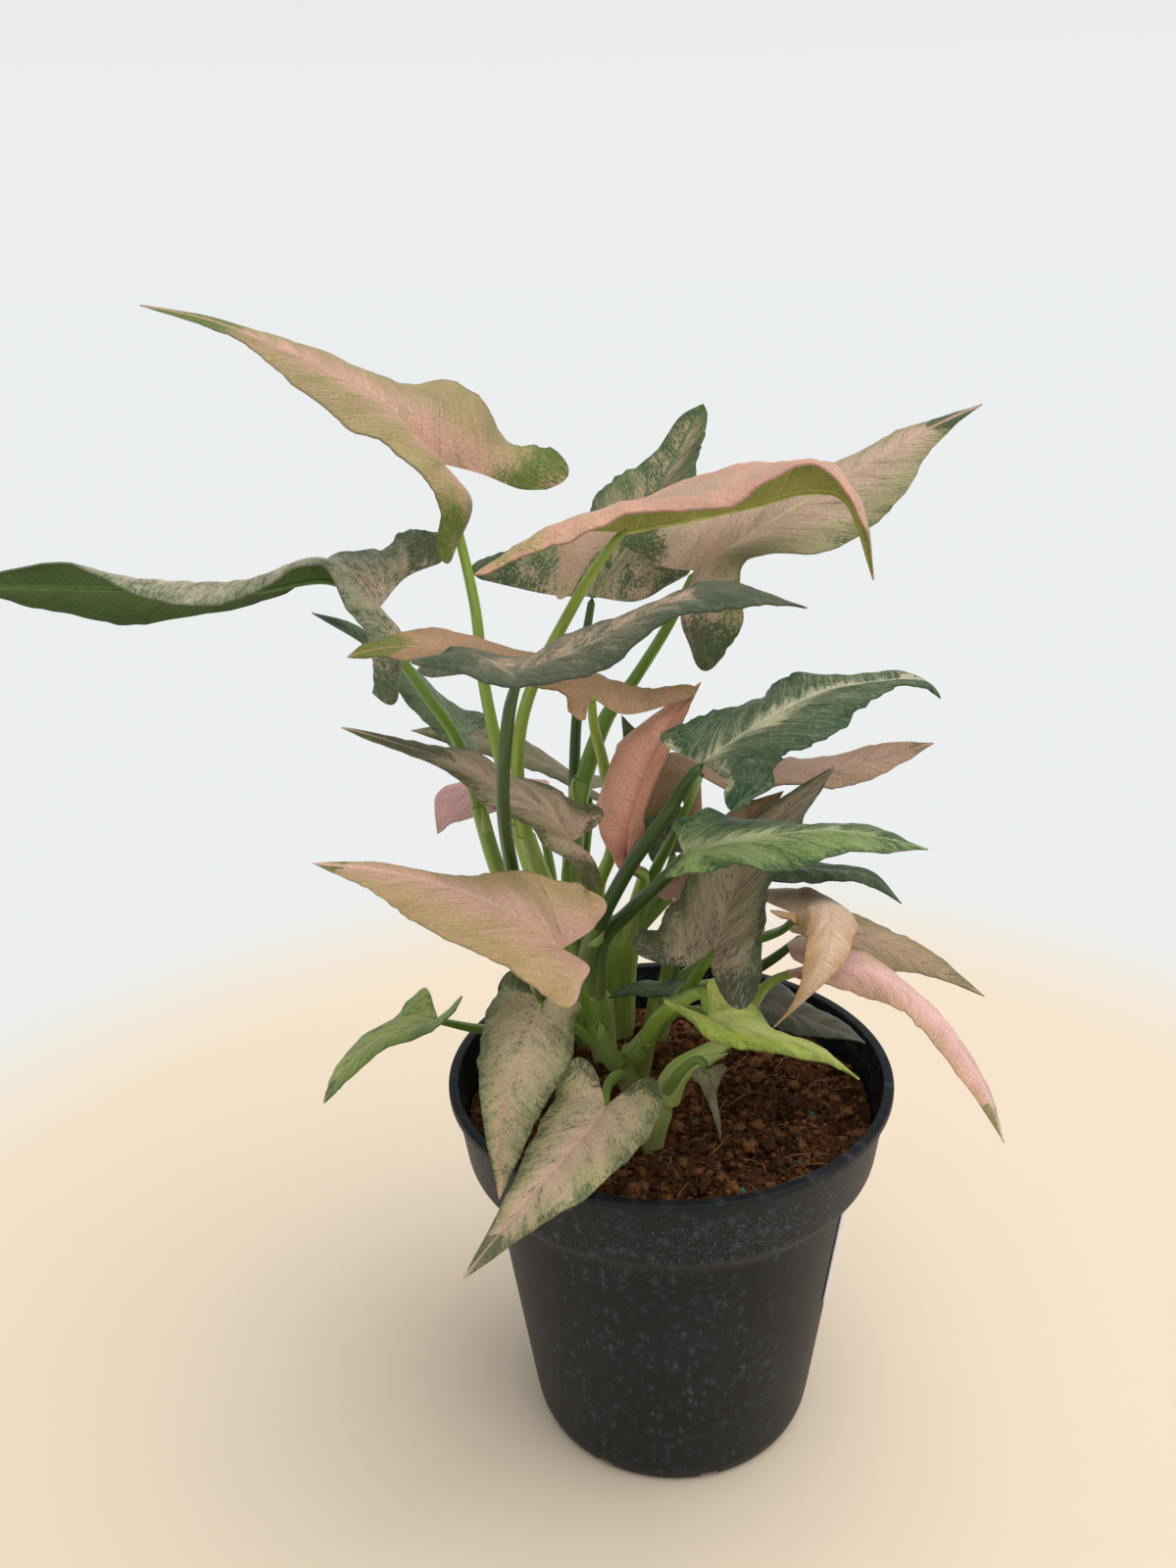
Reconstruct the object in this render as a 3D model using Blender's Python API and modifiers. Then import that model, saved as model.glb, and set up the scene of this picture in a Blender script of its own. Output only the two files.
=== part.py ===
"""An arrowhead plant growing in a round nursery pot.

The pot, its blank label and the soil are turned shapes round the Z axis. Seven shoots stand in
holes in the soil, and each carries the stalks of its leaves. Every leaf is a thin blade with a
fold along its rib, two back lobes and wavy margins. All sizes below are in millimetres, with the
origin at the middle of the pot's foot.
"""
import bpy
import bmesh
from math import cos, pi, radians, sin
from mathutils import Matrix, Vector

MM = 0.001
GAP = 0.3

# Pot
RIM_RADIUS = 65.0
POT_HEIGHT = 117.0
LIP_HEIGHT = 2.5
COLLAR_TOP_RADIUS = 63.3
COLLAR_FOOT_RADIUS = 60.3
COLLAR_FOOT = 93.0
STEP_RADIUS = 54.4
STEP_FOOT = 88.7
BODY_FOOT_RADIUS = 43.8
BODY_FOOT = 10.7
FOOT_RADIUS = 40.7
FOOT_ROUND = 4.0
WALL = 1.2
FLOOR = 2.0
POT_SIDES = 48
DRAIN_HOLES = 6
DRAIN_HOLE_RADIUS = 3.5
DRAIN_HOLE_SIDES = 12
DRAIN_RING_RADIUS = 25.0
DRAIN_HOLE_TURN = 0.41
FOOT_SLOTS = 8
FOOT_SLOT_LENGTH = 14.0
FOOT_SLOT_WIDTH = 6.0
FOOT_SLOT_HEIGHT = 3.0
FOOT_SLOT_TURN = 0.35

# Blank label on the pot's body
LABEL_THICKNESS = 0.6
LABEL_FROM = -24.0
LABEL_TO = 20.0
LABEL_TOP = 86.0
LABEL_FOOT = 47.0
LABEL_COLUMNS = 8

# Soil
SOIL_TOP = 102.5
SOIL_LUMP = 1.3
SOIL_RINGS = (0.0, 14.0, 27.0, 39.0, 50.0)
SOIL_SIDES = 32
SOIL_EASE = 0.5
SOIL_HOLE_EASE = 0.5
HOLE_REACH = 8.0

# Leaves and stalks
BLADE_THICKNESS = 0.7
LOBE_END_SHARE = 0.42
LOBE_END_BULGE = 0.9
FULL_RIPPLE_WIDTH = 10.0
RIPPLE_SHIFT = 1.3
LOOK_ROUND = 0.05
STALK_END_RADIUS = 0.8
STALK_REACH = 1.2
CURVE_STEPS = 2
SHARP_FROM = 40.0

COLOURS = {
    "pot": (0.022, 0.023, 0.025, 1.0),
    "label": (0.80, 0.81, 0.82, 1.0),
    "soil": (0.085, 0.040, 0.024, 1.0),
    "stalk": (0.16, 0.27, 0.05, 1.0),
    "stub": (0.52, 0.48, 0.22, 1.0),
    "pink": (0.62, 0.38, 0.29, 1.0),
    "salmon": (0.68, 0.34, 0.26, 1.0),
    "rose": (0.60, 0.25, 0.21, 1.0),
    "tan": (0.45, 0.24, 0.13, 1.0),
    "mauve": (0.28, 0.18, 0.14, 1.0),
    "cream": (0.42, 0.42, 0.26, 1.0),
    "slate": (0.15, 0.19, 0.13, 1.0),
    "green": (0.05, 0.12, 0.05, 1.0),
    "lime": (0.33, 0.46, 0.12, 1.0),
    "withered": (0.22, 0.18, 0.08, 1.0),
}

# Each blade: its rib from the joint to the tip, then each margin from the lobe's end towards the
# tip, and the points of each lobe's inner edge. For the left and the right half, arch is how far it
# bulges as a share of its width, and ends is half the width of the lobe's round end. The wave is
# the height and the count of the ripples along the margin, and rows are the steps of each span.
BLADES = {
    "top_pink": dict(
        colour="pink", rows=2, arch=(0.12, 0.10), wave=(1.0, 3), ends=(3, 6),
        rib=[(-57, 4, 293), (-63, 2, 301), (-68, 0, 307), (-78, -4, 315), (-89, -9, 321),
             (-105, -14, 329), (-122, -18, 334)],
        left=[(-55, -10, 273), (-56, -15, 285), (-59, -16, 293), (-66, -17, 301), (-73, -18, 303),
              (-83, -18, 312), (-95, -17, 322), (-108, -17, 329)],
        left_notch=[(-49, -2, 284)],
        right=[(-30, 20, 288), (-34, 24, 294), (-42, 25, 296), (-50, 25, 307), (-57, 22, 312),
               (-67, 16, 312), (-78, 6, 317), (-90, -3, 324), (-105, -11, 330)],
        right_notch=[(-39, 18, 284), (-48, 12, 289)]),
    "far_left": dict(
        colour="slate", rows=2, arch=(0.26, 0.10), wave=(1.0, 3), ends=(4, 4),
        rib=[(-75, -4, 257), (-86, -8, 266), (-105, -14, 265), (-129, -20, 267), (-149, -26, 269),
             (-173, -36, 272)],
        left=[(-73, -10, 237), (-76, -13, 249), (-79, -16, 260), (-85, -20, 272), (-104, -27, 266),
              (-125, -32, 268), (-147, -32, 276)],
        left_notch=[(-69, -4, 250)],
        right=[(-61, 14, 269), (-69, 16, 274), (-76, 14, 269), (-89, 4, 269), (-105, -4, 260),
               (-133, -14, 256), (-153, -22, 263)],
        right_notch=[(-70, 10, 262)]),
    "back_upright": dict(
        colour="slate", rows=2, arch=(0.10, 0.10), wave=(1.0, 3), ends=(3, 3),
        rib=[(-21, 36, 250), (-9, 42, 267), (3, 50, 287), (8, 53, 296), (11, 54, 301)],
        left=[(-53, 38, 258), (-41, 42, 264), (-24, 46, 270), (-18, 50, 278), (-3, 53, 288),
              (4, 54, 297)],
        left_notch=[(-33, 35, 251)],
        right=[(5, 30, 258), (9, 38, 265), (10, 42, 273), (9, 49, 284), (11, 53, 292), (12, 54, 298)],
        right_notch=[(-8, 30, 250)]),
    "right_pink": dict(
        colour="pink", rows=2, arch=(0.10, 0.12), wave=(1.0, 3), ends=(3, 5),
        rib=[(8, 14, 262), (27, 14, 274), (46, 16, 285), (64, 18, 295), (82, 20, 303)],
        left=[(-10, 28, 268), (-3, 34, 276), (11, 34, 282), (31, 32, 285), (47, 29, 289),
              (65, 24, 297)],
        left_notch=[(-1, 20, 262)],
        right=[(11, 0, 243), (19, -4, 252), (21, -4, 268), (42, 2, 270), (59, 9, 279), (70, 16, 294)],
        right_notch=[(4, 6, 252)]),
    "curled_pink": dict(
        colour="salmon", rows=2, arch=(0.12, 0.24), wave=(1.0, 3), ends=(4, 3),
        rib=[(-10, -12, 278), (5, -14, 281), (21, -14, 284), (35, -14, 287), (44, -16, 284),
             (50, -22, 267)],
        left=[(-26, -2, 262), (-26, 4, 272), (-14, 10, 279), (3, 10, 285), (22, 8, 291), (36, 4, 292),
              (44, -8, 288)],
        left_notch=[(-19, -7, 270)],
        right=[(-42, -32, 272), (-25, -34, 280), (-9, -32, 285), (8, -32, 286), (21, -31, 291),
               (34, -29, 295), (45, -25, 286)],
        right_notch=[(-26, -20, 279)]),
    "near_grey": dict(
        colour="slate", rows=2, arch=(0.08, 0.12), wave=(1.0, 3), ends=(3, 3),
        rib=[(-33, -62, 255), (-23, -65, 260), (-12, -68, 266), (0, -73, 273), (13, -79, 278),
             (28, -84, 276)],
        left=[(-54, -52, 255), (-49, -48, 258), (-34, -46, 256), (-23, -48, 261), (-12, -52, 266),
              (2, -60, 274), (15, -72, 278)],
        left_notch=[(-42, -56, 255)],
        right=[(-51, -76, 263), (-41, -82, 263), (-30, -84, 260), (-18, -86, 263), (-8, -88, 269),
               (4, -90, 276), (16, -90, 279)],
        right_notch=[(-43, -68, 263)]),
    "pink_arrow": dict(
        colour="salmon", rows=2, arch=(0.12, 0.12), wave=(1.0, 3), ends=(3, 2),
        rib=[(-19, -18, 237), (-33, -22, 244), (-48, -28, 251), (-63, -34, 255), (-76, -38, 254)],
        left=[(-22, -26, 236), (-27, -30, 242), (-39, -34, 248), (-54, -38, 253), (-67, -40, 254)],
        right=[(6, -8, 235), (-6, -6, 236), (-20, -8, 240), (-37, -14, 249), (-55, -20, 255),
               (-69, -29, 257)],
        right_notch=[(-10, -14, 231)]),
    "unfurling": dict(
        colour="rose", rows=2, arch=(0.25, 0.15), wave=(0.5, 2), ends=(3, 3),
        rib=[(-11, -7, 185), (-9, -11, 202), (-2, -10, 220), (9, -6, 237)],
        left=[(-13, -8, 187), (-17, -9, 193), (-19, -4, 202), (-11, -2, 220)],
        right=[(-9, -10, 188), (-7, -15, 195), (-5, -20, 207), (3, -13, 227)]),
    "grey_left": dict(
        colour="mauve", rows=3, arch=(0.10, 0.10), wave=(1.0, 3), ends=(3, 3),
        rib=[(-25, -20, 198), (-34, -22, 209), (-51, -26, 221), (-80, -34, 235)],
        left=[(-20, -22, 187), (-26, -26, 195), (-33, -29, 204), (-43, -32, 212), (-57, -34, 224)],
        left_notch=[(-20, -21, 194)],
        right=[(-19, -17, 204), (-27, -11, 207), (-39, -13, 214), (-57, -21, 225)]),
    "peach_left": dict(
        colour="pink", rows=2, arch=(0.08, 0.12), wave=(1.0, 3), ends=(5, 4),
        rib=[(-27, -42, 178), (-37, -45, 188), (-48, -50, 197), (-66, -57, 206), (-83, -62, 211)],
        left=[(-26, -52, 172), (-33, -56, 174), (-40, -58, 182), (-50, -60, 188), (-61, -61, 196),
              (-72, -62, 205)],
        left_notch=[(-20, -46, 175)],
        right=[(-19, -36, 187), (-23, -34, 192), (-34, -34, 195), (-43, -36, 197), (-54, -42, 198),
               (-67, -53, 207)],
        right_notch=[(-20, -38, 181)]),
    "hang_left": dict(
        colour="cream", rows=3, arch=(0.12, 0.12), wave=(1.0, 3), ends=(4, 4),
        rib=[(-33, -44, 163), (-37, -51, 153), (-42, -60, 142), (-43, -68, 121)],
        left=[(-25, -37, 163), (-24, -38, 156), (-26, -47, 149), (-33, -60, 140)],
        right=[(-40, -39, 166), (-46, -40, 161), (-48, -51, 154), (-47, -62, 144)]),
    "hang_front": dict(
        colour="cream", rows=3, arch=(0.10, 0.10), wave=(1.0, 3), ends=(5, 5),
        rib=[(-17, -42, 131), (-23, -52, 128), (-34, -68, 123), (-51, -82, 108)],
        left=[(-6, -38, 133), (-3, -46, 131), (-11, -58, 125), (-27, -76, 123)],
        right=[(-24, -36, 137), (-30, -42, 135), (-34, -53, 131), (-41, -68, 122)]),
    "green_upper": dict(
        colour="green", rows=2, arch=(0.10, 0.10), wave=(1.0, 3), ends=(3, 4),
        rib=[(9, -32, 224), (23, -34, 235), (37, -35, 243), (51, -37, 246), (60, -39, 247),
             (64, -41, 243)],
        left=[(1, -24, 228), (10, -22, 233), (22, -22, 238), (31, -26, 244), (44, -30, 246),
              (56, -35, 247)],
        right=[(17, -42, 219), (24, -45, 223), (26, -45, 229), (36, -45, 234), (46, -43, 242),
               (55, -41, 246), (62, -41, 245)],
        right_notch=[(14, -38, 222)]),
    "green_lower": dict(
        colour="green", rows=3, arch=(0.15, 0.15), wave=(1.0, 3), ends=(3, 3),
        rib=[(4, -45, 205), (18, -48, 210), (39, -52, 214), (60, -58, 212)],
        left=[(4, -36, 209), (13, -34, 212), (26, -40, 211), (47, -48, 213)],
        right=[(2, -54, 204), (12, -58, 208), (25, -60, 208), (44, -60, 212)]),
    "brown_hanging": dict(
        colour="mauve", rows=3, arch=(-0.12, 0.12), wave=(1.0, 3), ends=(5, 5),
        rib=[(12, -36, 175), (16, -33, 187), (24, -25, 201), (44, -10, 215)],
        left=[(-5, -40, 178), (-3, -40, 183), (2, -40, 190), (8, -36, 200), (24, -24, 208)],
        left_notch=[(4, -40, 172)],
        right=[(18, -44, 167), (23, -43, 173), (24, -38, 181), (26, -32, 192), (35, -20, 204)],
        right_notch=[(11, -40, 171)]),
    "bent_orange": dict(
        colour="tan", rows=2, arch=(0.10, 0.15), wave=(0.5, 2), ends=(3, 3),
        rib=[(36, -3, 168), (43, -9, 174), (43, -20, 169), (38, -26, 159), (28, -28, 147)],
        left=[(29, 8, 169), (41, 7, 171), (52, -3, 167), (50, -14, 166), (44, -22, 160)],
        right=[(30, -12, 172), (35, -15, 171), (36, -21, 172), (36, -26, 169), (34, -29, 158)]),
    "pink_drooping": dict(
        colour="rose", rows=2, arch=(0.10, 0.15), wave=(0.5, 2), ends=(3, 3),
        rib=[(40, -6, 153), (54, -10, 155), (69, -20, 149), (83, -29, 132), (90, -34, 115)],
        left=[(37, 1, 154), (47, 1, 156), (59, -3, 154), (74, -14, 143), (86, -25, 127)],
        right=[(35, -12, 154), (44, -15, 153), (55, -20, 151), (65, -26, 148), (78, -33, 134)]),
    "grey_right": dict(
        colour="mauve", rows=2, arch=(0.10, 0.10), wave=(0.5, 2), ends=(3, 3),
        rib=[(40, 16, 152), (57, 16, 151), (75, 12, 144), (92, 8, 136)],
        left=[(38, 22, 152), (49, 24, 156), (64, 22, 152), (79, 16, 145)],
        right=[(37, 10, 151), (48, 8, 149), (61, 8, 145), (76, 8, 143)]),
    "dark_sliver": dict(
        colour="slate", rows=2, arch=(0.15, 0.15), wave=(0.5, 2), ends=(3, 3),
        rib=[(29, 5, 179), (44, 5, 178), (56, 3, 177), (65, 0, 170)],
        left=[(25, 10, 178), (36, 14, 176), (47, 12, 176), (58, 7, 176)],
        right=[(25, 0, 178), (36, -3, 178), (46, -3, 178), (55, -2, 177)]),
    "rose_right": dict(
        colour="rose", rows=2, arch=(0.10, 0.10), wave=(0.5, 2), ends=(3, 3),
        rib=[(26, 0, 207), (39, 0, 210), (57, 2, 212), (72, 4, 216)],
        left=[(24, 8, 207), (32, 10, 209), (44, 9, 211), (60, 7, 215)],
        right=[(25, -5, 206), (32, -9, 210), (45, -6, 207), (60, -2, 211)]),
    "rust_left": dict(
        colour="tan", rows=2, arch=(0.10, 0.10), wave=(0.5, 2), ends=(3, 3),
        rib=[(9, 2, 208), (3, 4, 206), (-4, 7, 200), (-9, 8, 191)],
        left=[(7, -2, 198), (4, 0, 203), (1, 3, 199), (-5, 7, 194)],
        right=[(16, 8, 203), (9, 12, 209), (1, 14, 210), (-5, 10, 205)]),
    "peach_behind": dict(
        colour="salmon", rows=2, arch=(0.10, 0.10), wave=(0.5, 2), ends=(3, 3),
        rib=[(4, -8, 176), (12, -5, 187), (21, 0, 195), (32, 5, 202)],
        left=[(-1, -6, 177), (4, -2, 181), (11, 2, 191), (20, 4, 198)],
        right=[(2, -14, 177), (12, -14, 182), (20, -9, 190), (28, -1, 197)]),
    "slate_behind": dict(
        colour="slate", rows=2, arch=(0.10, 0.10), wave=(0.5, 2), ends=(3, 3),
        rib=[(2, 19, 178), (-3, 22, 187), (-8, 25, 200), (-13, 28, 217)],
        left=[(-3, 19, 177), (-8, 22, 182), (-10, 24, 191), (-12, 26, 204)],
        right=[(6, 19, 180), (5, 22, 188), (1, 24, 197), (-7, 27, 210)]),
    "slate_left": dict(
        colour="slate", rows=2, arch=(0.10, 0.10), wave=(0.5, 2), ends=(3, 3),
        rib=[(-58, 30, 211), (-68, 30, 222), (-83, 28, 237), (-100, 26, 249)],
        left=[(-57, 22, 209), (-64, 22, 211), (-74, 22, 224), (-87, 24, 241)],
        right=[(-55, 36, 213), (-62, 38, 217), (-74, 38, 227), (-87, 31, 243)]),
    "olive_left": dict(
        colour="mauve", rows=2, arch=(0.15, 0.10), wave=(0.5, 2), ends=(3, 3),
        rib=[(-25, 51, 185), (-40, 52, 194), (-58, 52, 202), (-79, 51, 205)],
        left=[(-21, 46, 184), (-31, 44, 189), (-42, 44, 195), (-58, 46, 199)],
        right=[(-21, 58, 185), (-32, 61, 188), (-45, 62, 197), (-60, 58, 205)]),
    "blush_back": dict(
        colour="rose", rows=2, arch=(0.10, 0.10), wave=(0.5, 2), ends=(3, 3),
        rib=[(-43, 60, 179), (-54, 62, 181), (-66, 65, 177), (-76, 68, 163)],
        left=[(-41, 54, 177), (-50, 54, 177), (-60, 57, 174), (-70, 62, 169)],
        right=[(-41, 68, 180), (-53, 72, 182), (-65, 73, 179), (-76, 72, 176)]),
    "green_far_left": dict(
        colour="lime", rows=2, arch=(0.10, 0.10), wave=(0.5, 2), ends=(3, 3),
        rib=[(-66, -8, 137), (-77, -12, 136), (-88, -18, 132), (-97, -26, 121)],
        left=[(-59, -16, 147), (-66, -20, 140), (-78, -22, 138), (-89, -27, 129)],
        right=[(-72, 2, 139), (-81, 1, 133), (-89, -6, 130), (-96, -16, 125)]),
    "lime": dict(
        colour="lime", rows=2, arch=(0.10, 0.10), wave=(0.5, 2), ends=(4, 2),
        rib=[(10, -38, 156), (23, -42, 154), (37, -46, 151), (48, -50, 145)],
        left=[(13, -28, 158), (21, -27, 155), (29, -34, 149), (39, -42, 149)],
        right=[(0, -46, 164), (12, -51, 157), (25, -52, 154), (40, -52, 151)]),
    "dark_on_soil": dict(
        colour="slate", rows=2, arch=(0.10, 0.10), wave=(0.5, 2), ends=(3, 3),
        rib=[(28, 8, 135), (38, 6, 131), (48, 4, 127), (57, 0, 125)],
        left=[(24, 14, 135), (33, 18, 134), (43, 15, 129), (52, 9, 126)],
        right=[(24, 0, 135), (33, -4, 132), (41, -4, 129), (50, -2, 128)]),
    "dark_small": dict(
        colour="green", rows=2, arch=(0.10, 0.10), wave=(0.3, 2), ends=(3, 3),
        rib=[(2, 10, 137), (-4, 9, 138), (-11, 8, 138), (-18, 5, 137)],
        left=[(3, 6, 137), (-1, 4, 138), (-6, 4, 138), (-12, 3, 139)],
        right=[(2, 14, 137), (-2, 15, 137), (-7, 13, 138), (-13, 9, 139)]),
    "withered": dict(
        colour="withered", rows=2, arch=(0.20, 0.20), wave=(0.3, 2), ends=(3, 3),
        rib=[(10, -45, 144), (11, -46, 138), (12, -48, 132), (13, -50, 127)],
        left=[(13, -44, 144), (13, -45, 141), (12, -46, 137), (13, -48, 131)],
        right=[(7, -46, 144), (8, -47, 141), (10, -48, 136), (12, -50, 131)]),
}
# Each shoot: its core from its foot in the soil, then the stalk of each blade, as x, y, z and radius.
SHOOTS = {
    "shoot_left": dict(
        core=[(-35, 27, 98, 4.5), (-36, 25, 111, 5.0), (-38, 22, 127, 4.6)],
        stalks={
            "near_grey": [(-37, 22, 123, 2.6), (-40, 2, 158, 2.4), (-41, -20, 188, 2.0),
                          (-40, -42, 218, 1.8), (-36, -57, 244, 1.6)],
            "far_left": [(-38, 23, 126, 2.6), (-46, 24, 153, 2.4), (-52, 22, 176, 2.0),
                         (-58, 12, 213, 1.8), (-65, 4, 231, 1.6), (-73, 0, 247, 1.4)],
            "slate_left": [(-40, 27, 119, 2.2), (-48, 30, 150, 2.0), (-54, 30, 179, 1.6),
                           (-57, 29, 203, 1.3)],
            "green_far_left": [(-38, 24, 115, 2.2), (-49, 16, 119, 1.8), (-57, 6, 126, 1.5),
                               (-63, -3, 133, 1.2)]}),
    "shoot_middle": dict(
        core=[(-24, 36, 99, 5.0), (-26, 34, 113, 5.6), (-28, 31, 130, 5.2)],
        stalks={
            "top_pink": [(-27, 32, 121, 2.6), (-35, 27, 151, 2.6), (-41, 22, 173, 2.2),
                         (-47, 14, 208, 1.9), (-50, 9, 234, 1.7), (-51, 6, 257, 1.5)],
            "curled_pink": [(-28, 31, 125, 2.6), (-34, 24, 156, 2.6), (-41, 16, 185, 2.2),
                            (-42, 12, 209, 2.0), (-37, 8, 231, 1.8), (-22, -7, 261, 1.5),
                            (-14, -14, 274, 1.2)],
            "back_upright": [(-26, 36, 119, 2.6), (-31, 38, 149, 2.4), (-29, 38, 173, 2.0),
                             (-27, 37, 209, 1.7), (-24, 37, 233, 1.5)],
            "right_pink": [(-25, 36, 121, 2.8), (-29, 34, 158, 3.0), (-26, 31, 190, 2.8),
                           (-18, 28, 215, 2.4), (-9, 24, 229, 1.8), (1, 17, 247, 1.5)],
            "blush_back": [(-28, 39, 115, 2.2), (-35, 48, 137, 2.0), (-38, 55, 158, 1.6),
                           (-41, 59, 172, 1.2)],
            "olive_left": [(-27, 36, 115, 2.2), (-27, 41, 141, 2.0), (-26, 44, 163, 1.6),
                           (-24, 45, 179, 1.2)]}),
    "shoot_dark": dict(
        core=[(-20, 24, 105, 4.2), (-21, 19, 122, 4.6), (-22, 14, 136, 4.2)],
        stalks={
            "green_upper": [(-22, 14, 135, 2.4), (-23, 3, 154, 2.4), (-11, -17, 188, 2.1),
                            (-1, -27, 207, 1.9), (5, -33, 220, 1.5)],
            "green_lower": [(-21, 13, 134, 2.4), (-19, 4, 156, 2.3), (-11, -5, 170, 2.1),
                            (-4, -20, 184, 1.9), (2, -40, 200, 1.5)],
            "grey_left": [(-24, 15, 134, 2.2), (-27, 6, 155, 2.0), (-28, -6, 177, 1.6),
                          (-27, -14, 190, 1.2)]}),
    "shoot_main": dict(
        core=[(-16, 44, 95, 5.2), (-16, 41, 110, 5.4), (-15, 36, 131, 5.2), (-12, 32, 149, 4.6)],
        stalks={
            "unfurling": [(-13, 34, 141, 3.0), (-9, 22, 161, 2.4), (-7, 10, 174, 2.0),
                          (-9, 1, 180, 1.5)],
            "slate_behind": [(-11, 33, 145, 2.4), (-4, 27, 160, 2.0), (0, 19, 171, 1.4)],
            "rust_left": [(-10, 32, 147, 2.4), (-4, 12, 174, 1.8), (2, -7, 195, 1.4),
                          (6, -9, 205, 1.1)],
            "rose_right": [(-10, 33, 145, 2.4), (4, 26, 165, 1.9), (15, 16, 185, 1.5),
                           (23, 3, 203, 1.2)],
            "pink_arrow": [(-15, 33, 140, 2.6), (-21, 26, 161, 2.2), (-16, 14, 182, 1.9),
                           (-17, 5, 207, 1.7), (-19, -9, 226, 1.4)]}),
    "shoot_back": dict(
        core=[(-6, 40, 98, 4.4), (-3, 37, 113, 4.6), (-1, 34, 127, 4.2)],
        stalks={
            "peach_behind": [(-1, 33, 128, 2.0), (1, 22, 147, 1.8), (3, 2, 166, 1.4)],
            "bent_orange": [(1, 34, 125, 2.4), (17, 24, 143, 2.0), (29, 10, 155, 1.5),
                            (33, 1, 162, 1.2)],
            "grey_right": [(0, 36, 121, 2.4), (19, 30, 129, 2.0), (30, 20, 141, 1.6)],
            "dark_sliver": [(0, 34, 127, 2.2), (8, 28, 151, 1.9), (20, 14, 168, 1.4),
                            (26, 7, 174, 1.2)],
            "dark_small": [(-2, 34, 121, 2.0), (2, 22, 125, 1.6), (3, 11, 132, 1.2)],
            "dark_on_soil": [(0, 34, 116, 2.2), (13, 24, 121, 1.8), (23, 13, 127, 1.3)]}),
    "shoot_front": dict(
        core=[(-10, 11, 97, 4.2), (-11, 7, 109, 4.8), (-12, 2, 122, 4.2)],
        stalks={
            "peach_left": [(-16, 0, 118, 2.4), (-22, -10, 137, 2.2), (-24, -26, 158, 1.8)],
            "hang_left": [(-15, -1, 119, 2.0), (-22, -8, 131, 1.8), (-28, -22, 145, 1.6),
                          (-32, -36, 156, 1.2)],
            "hang_front": [(-14, 0, 114, 2.0), (-16, -16, 123, 1.7), (-17, -32, 130, 1.3)],
            "brown_hanging": [(-11, 2, 120, 2.4), (-1, -2, 135, 2.2), (5, -12, 149, 1.9),
                              (9, -26, 164, 1.4)],
            "lime": [(-10, 8, 106, 2.7), (-8, 2, 118, 2.6), (-6, -8, 132, 2.4), (-2, -18, 145, 2.1),
                     (5, -28, 156, 1.8), (9, -35, 161, 1.4)]}),
    "shoot_right": dict(
        core=[(-6, -18, 96, 3.4), (-4, -20, 110, 3.8), (-1, -20, 121, 4.2)],
        stalks={
            "pink_drooping": [(-1, -20, 119, 3.6), (2, -19, 127, 3.4), (9, -15, 130, 2.8),
                              (17, -8, 131, 2.2), (22, -9, 140, 1.9), (29, 0, 145, 1.5)],
            "withered": [(-1, -21, 122, 1.8), (4, -34, 138, 1.4), (8, -41, 145, 1.1)]}),
}

STUBS = {
    "old_stub": [(-4, 53, 97, 2.6), (-3, 54, 104, 2.8), (2, 58, 111, 2.8)],
    "dead_stalk": [(-36, 12, 98, 1.2), (-35, 11, 105, 1.3), (-37, 17, 109, 1.1)],
}


def clear_scene():
    """Remove every object of the scene."""
    for thing in list(bpy.data.objects):
        bpy.data.objects.remove(thing, do_unlink=True)


def new_collection(name):
    """A collection in the scene."""
    group = bpy.data.collections.new(name)
    bpy.context.scene.collection.children.link(group)
    return group


def material(name, roughness=0.5):
    """A Principled material in one of the plant's colours."""
    found = bpy.data.materials.get(name)
    if found:
        return found
    made = bpy.data.materials.new(name)
    made.use_nodes = True
    shader = made.node_tree.nodes["Principled BSDF"]
    shader.inputs["Base Color"].default_value = COLOURS[name]
    shader.inputs["Roughness"].default_value = roughness
    made.diffuse_color = COLOURS[name]
    return made


def add_mesh(name, vertices, faces, group, colour):
    """A mesh object from points in millimetres."""
    mesh = bpy.data.meshes.new(name)
    mesh.from_pydata([Vector(point) * MM for point in vertices], [], faces)
    mesh.materials.append(material(colour))
    piece = bpy.data.objects.new(name, mesh)
    group.objects.link(piece)
    return piece


def apply_modifiers(piece):
    """Put the evaluated shape in the object's own mesh."""
    graph = bpy.context.evaluated_depsgraph_get()
    shape = bpy.data.meshes.new_from_object(piece.evaluated_get(graph))
    piece.modifiers.clear()
    piece.data = shape


def boolean(piece, operation, cutters, solver="EXACT"):
    """Join a collection of meshes to a piece, or cut it with them."""
    change = piece.modifiers.new(operation.title(), "BOOLEAN")
    change.operation = operation
    change.operand_type = "COLLECTION"
    change.collection = cutters
    change.solver = solver
    apply_modifiers(piece)


def drop_collection(group):
    """Remove a collection with its objects."""
    for thing in list(group.objects):
        bpy.data.objects.remove(thing, do_unlink=True)
    bpy.data.collections.remove(group)


def soften(piece, angle):
    """Shade a piece smooth up to an angle in degrees."""
    piece.data.shade_smooth()
    piece.data.set_sharp_from_angle(angle=radians(angle))


def turned(name, profile, group, colour, sides):
    """A profile of radius and height, spun round the Z axis."""
    points = [(radius, 0.0, height) for radius, height in profile]
    edges = [(index, index + 1) for index in range(len(points) - 1)]
    mesh = bpy.data.meshes.new(name)
    mesh.from_pydata([Vector(point) * MM for point in points], edges, [])
    mesh.materials.append(material(colour))
    piece = bpy.data.objects.new(name, mesh)
    group.objects.link(piece)
    spin = piece.modifiers.new("Screw", "SCREW")
    spin.axis = "Z"
    spin.angle = 2.0 * pi
    spin.steps = sides
    spin.render_steps = sides
    spin.use_merge_vertices = True
    spin.merge_threshold = 0.00001
    return piece


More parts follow.
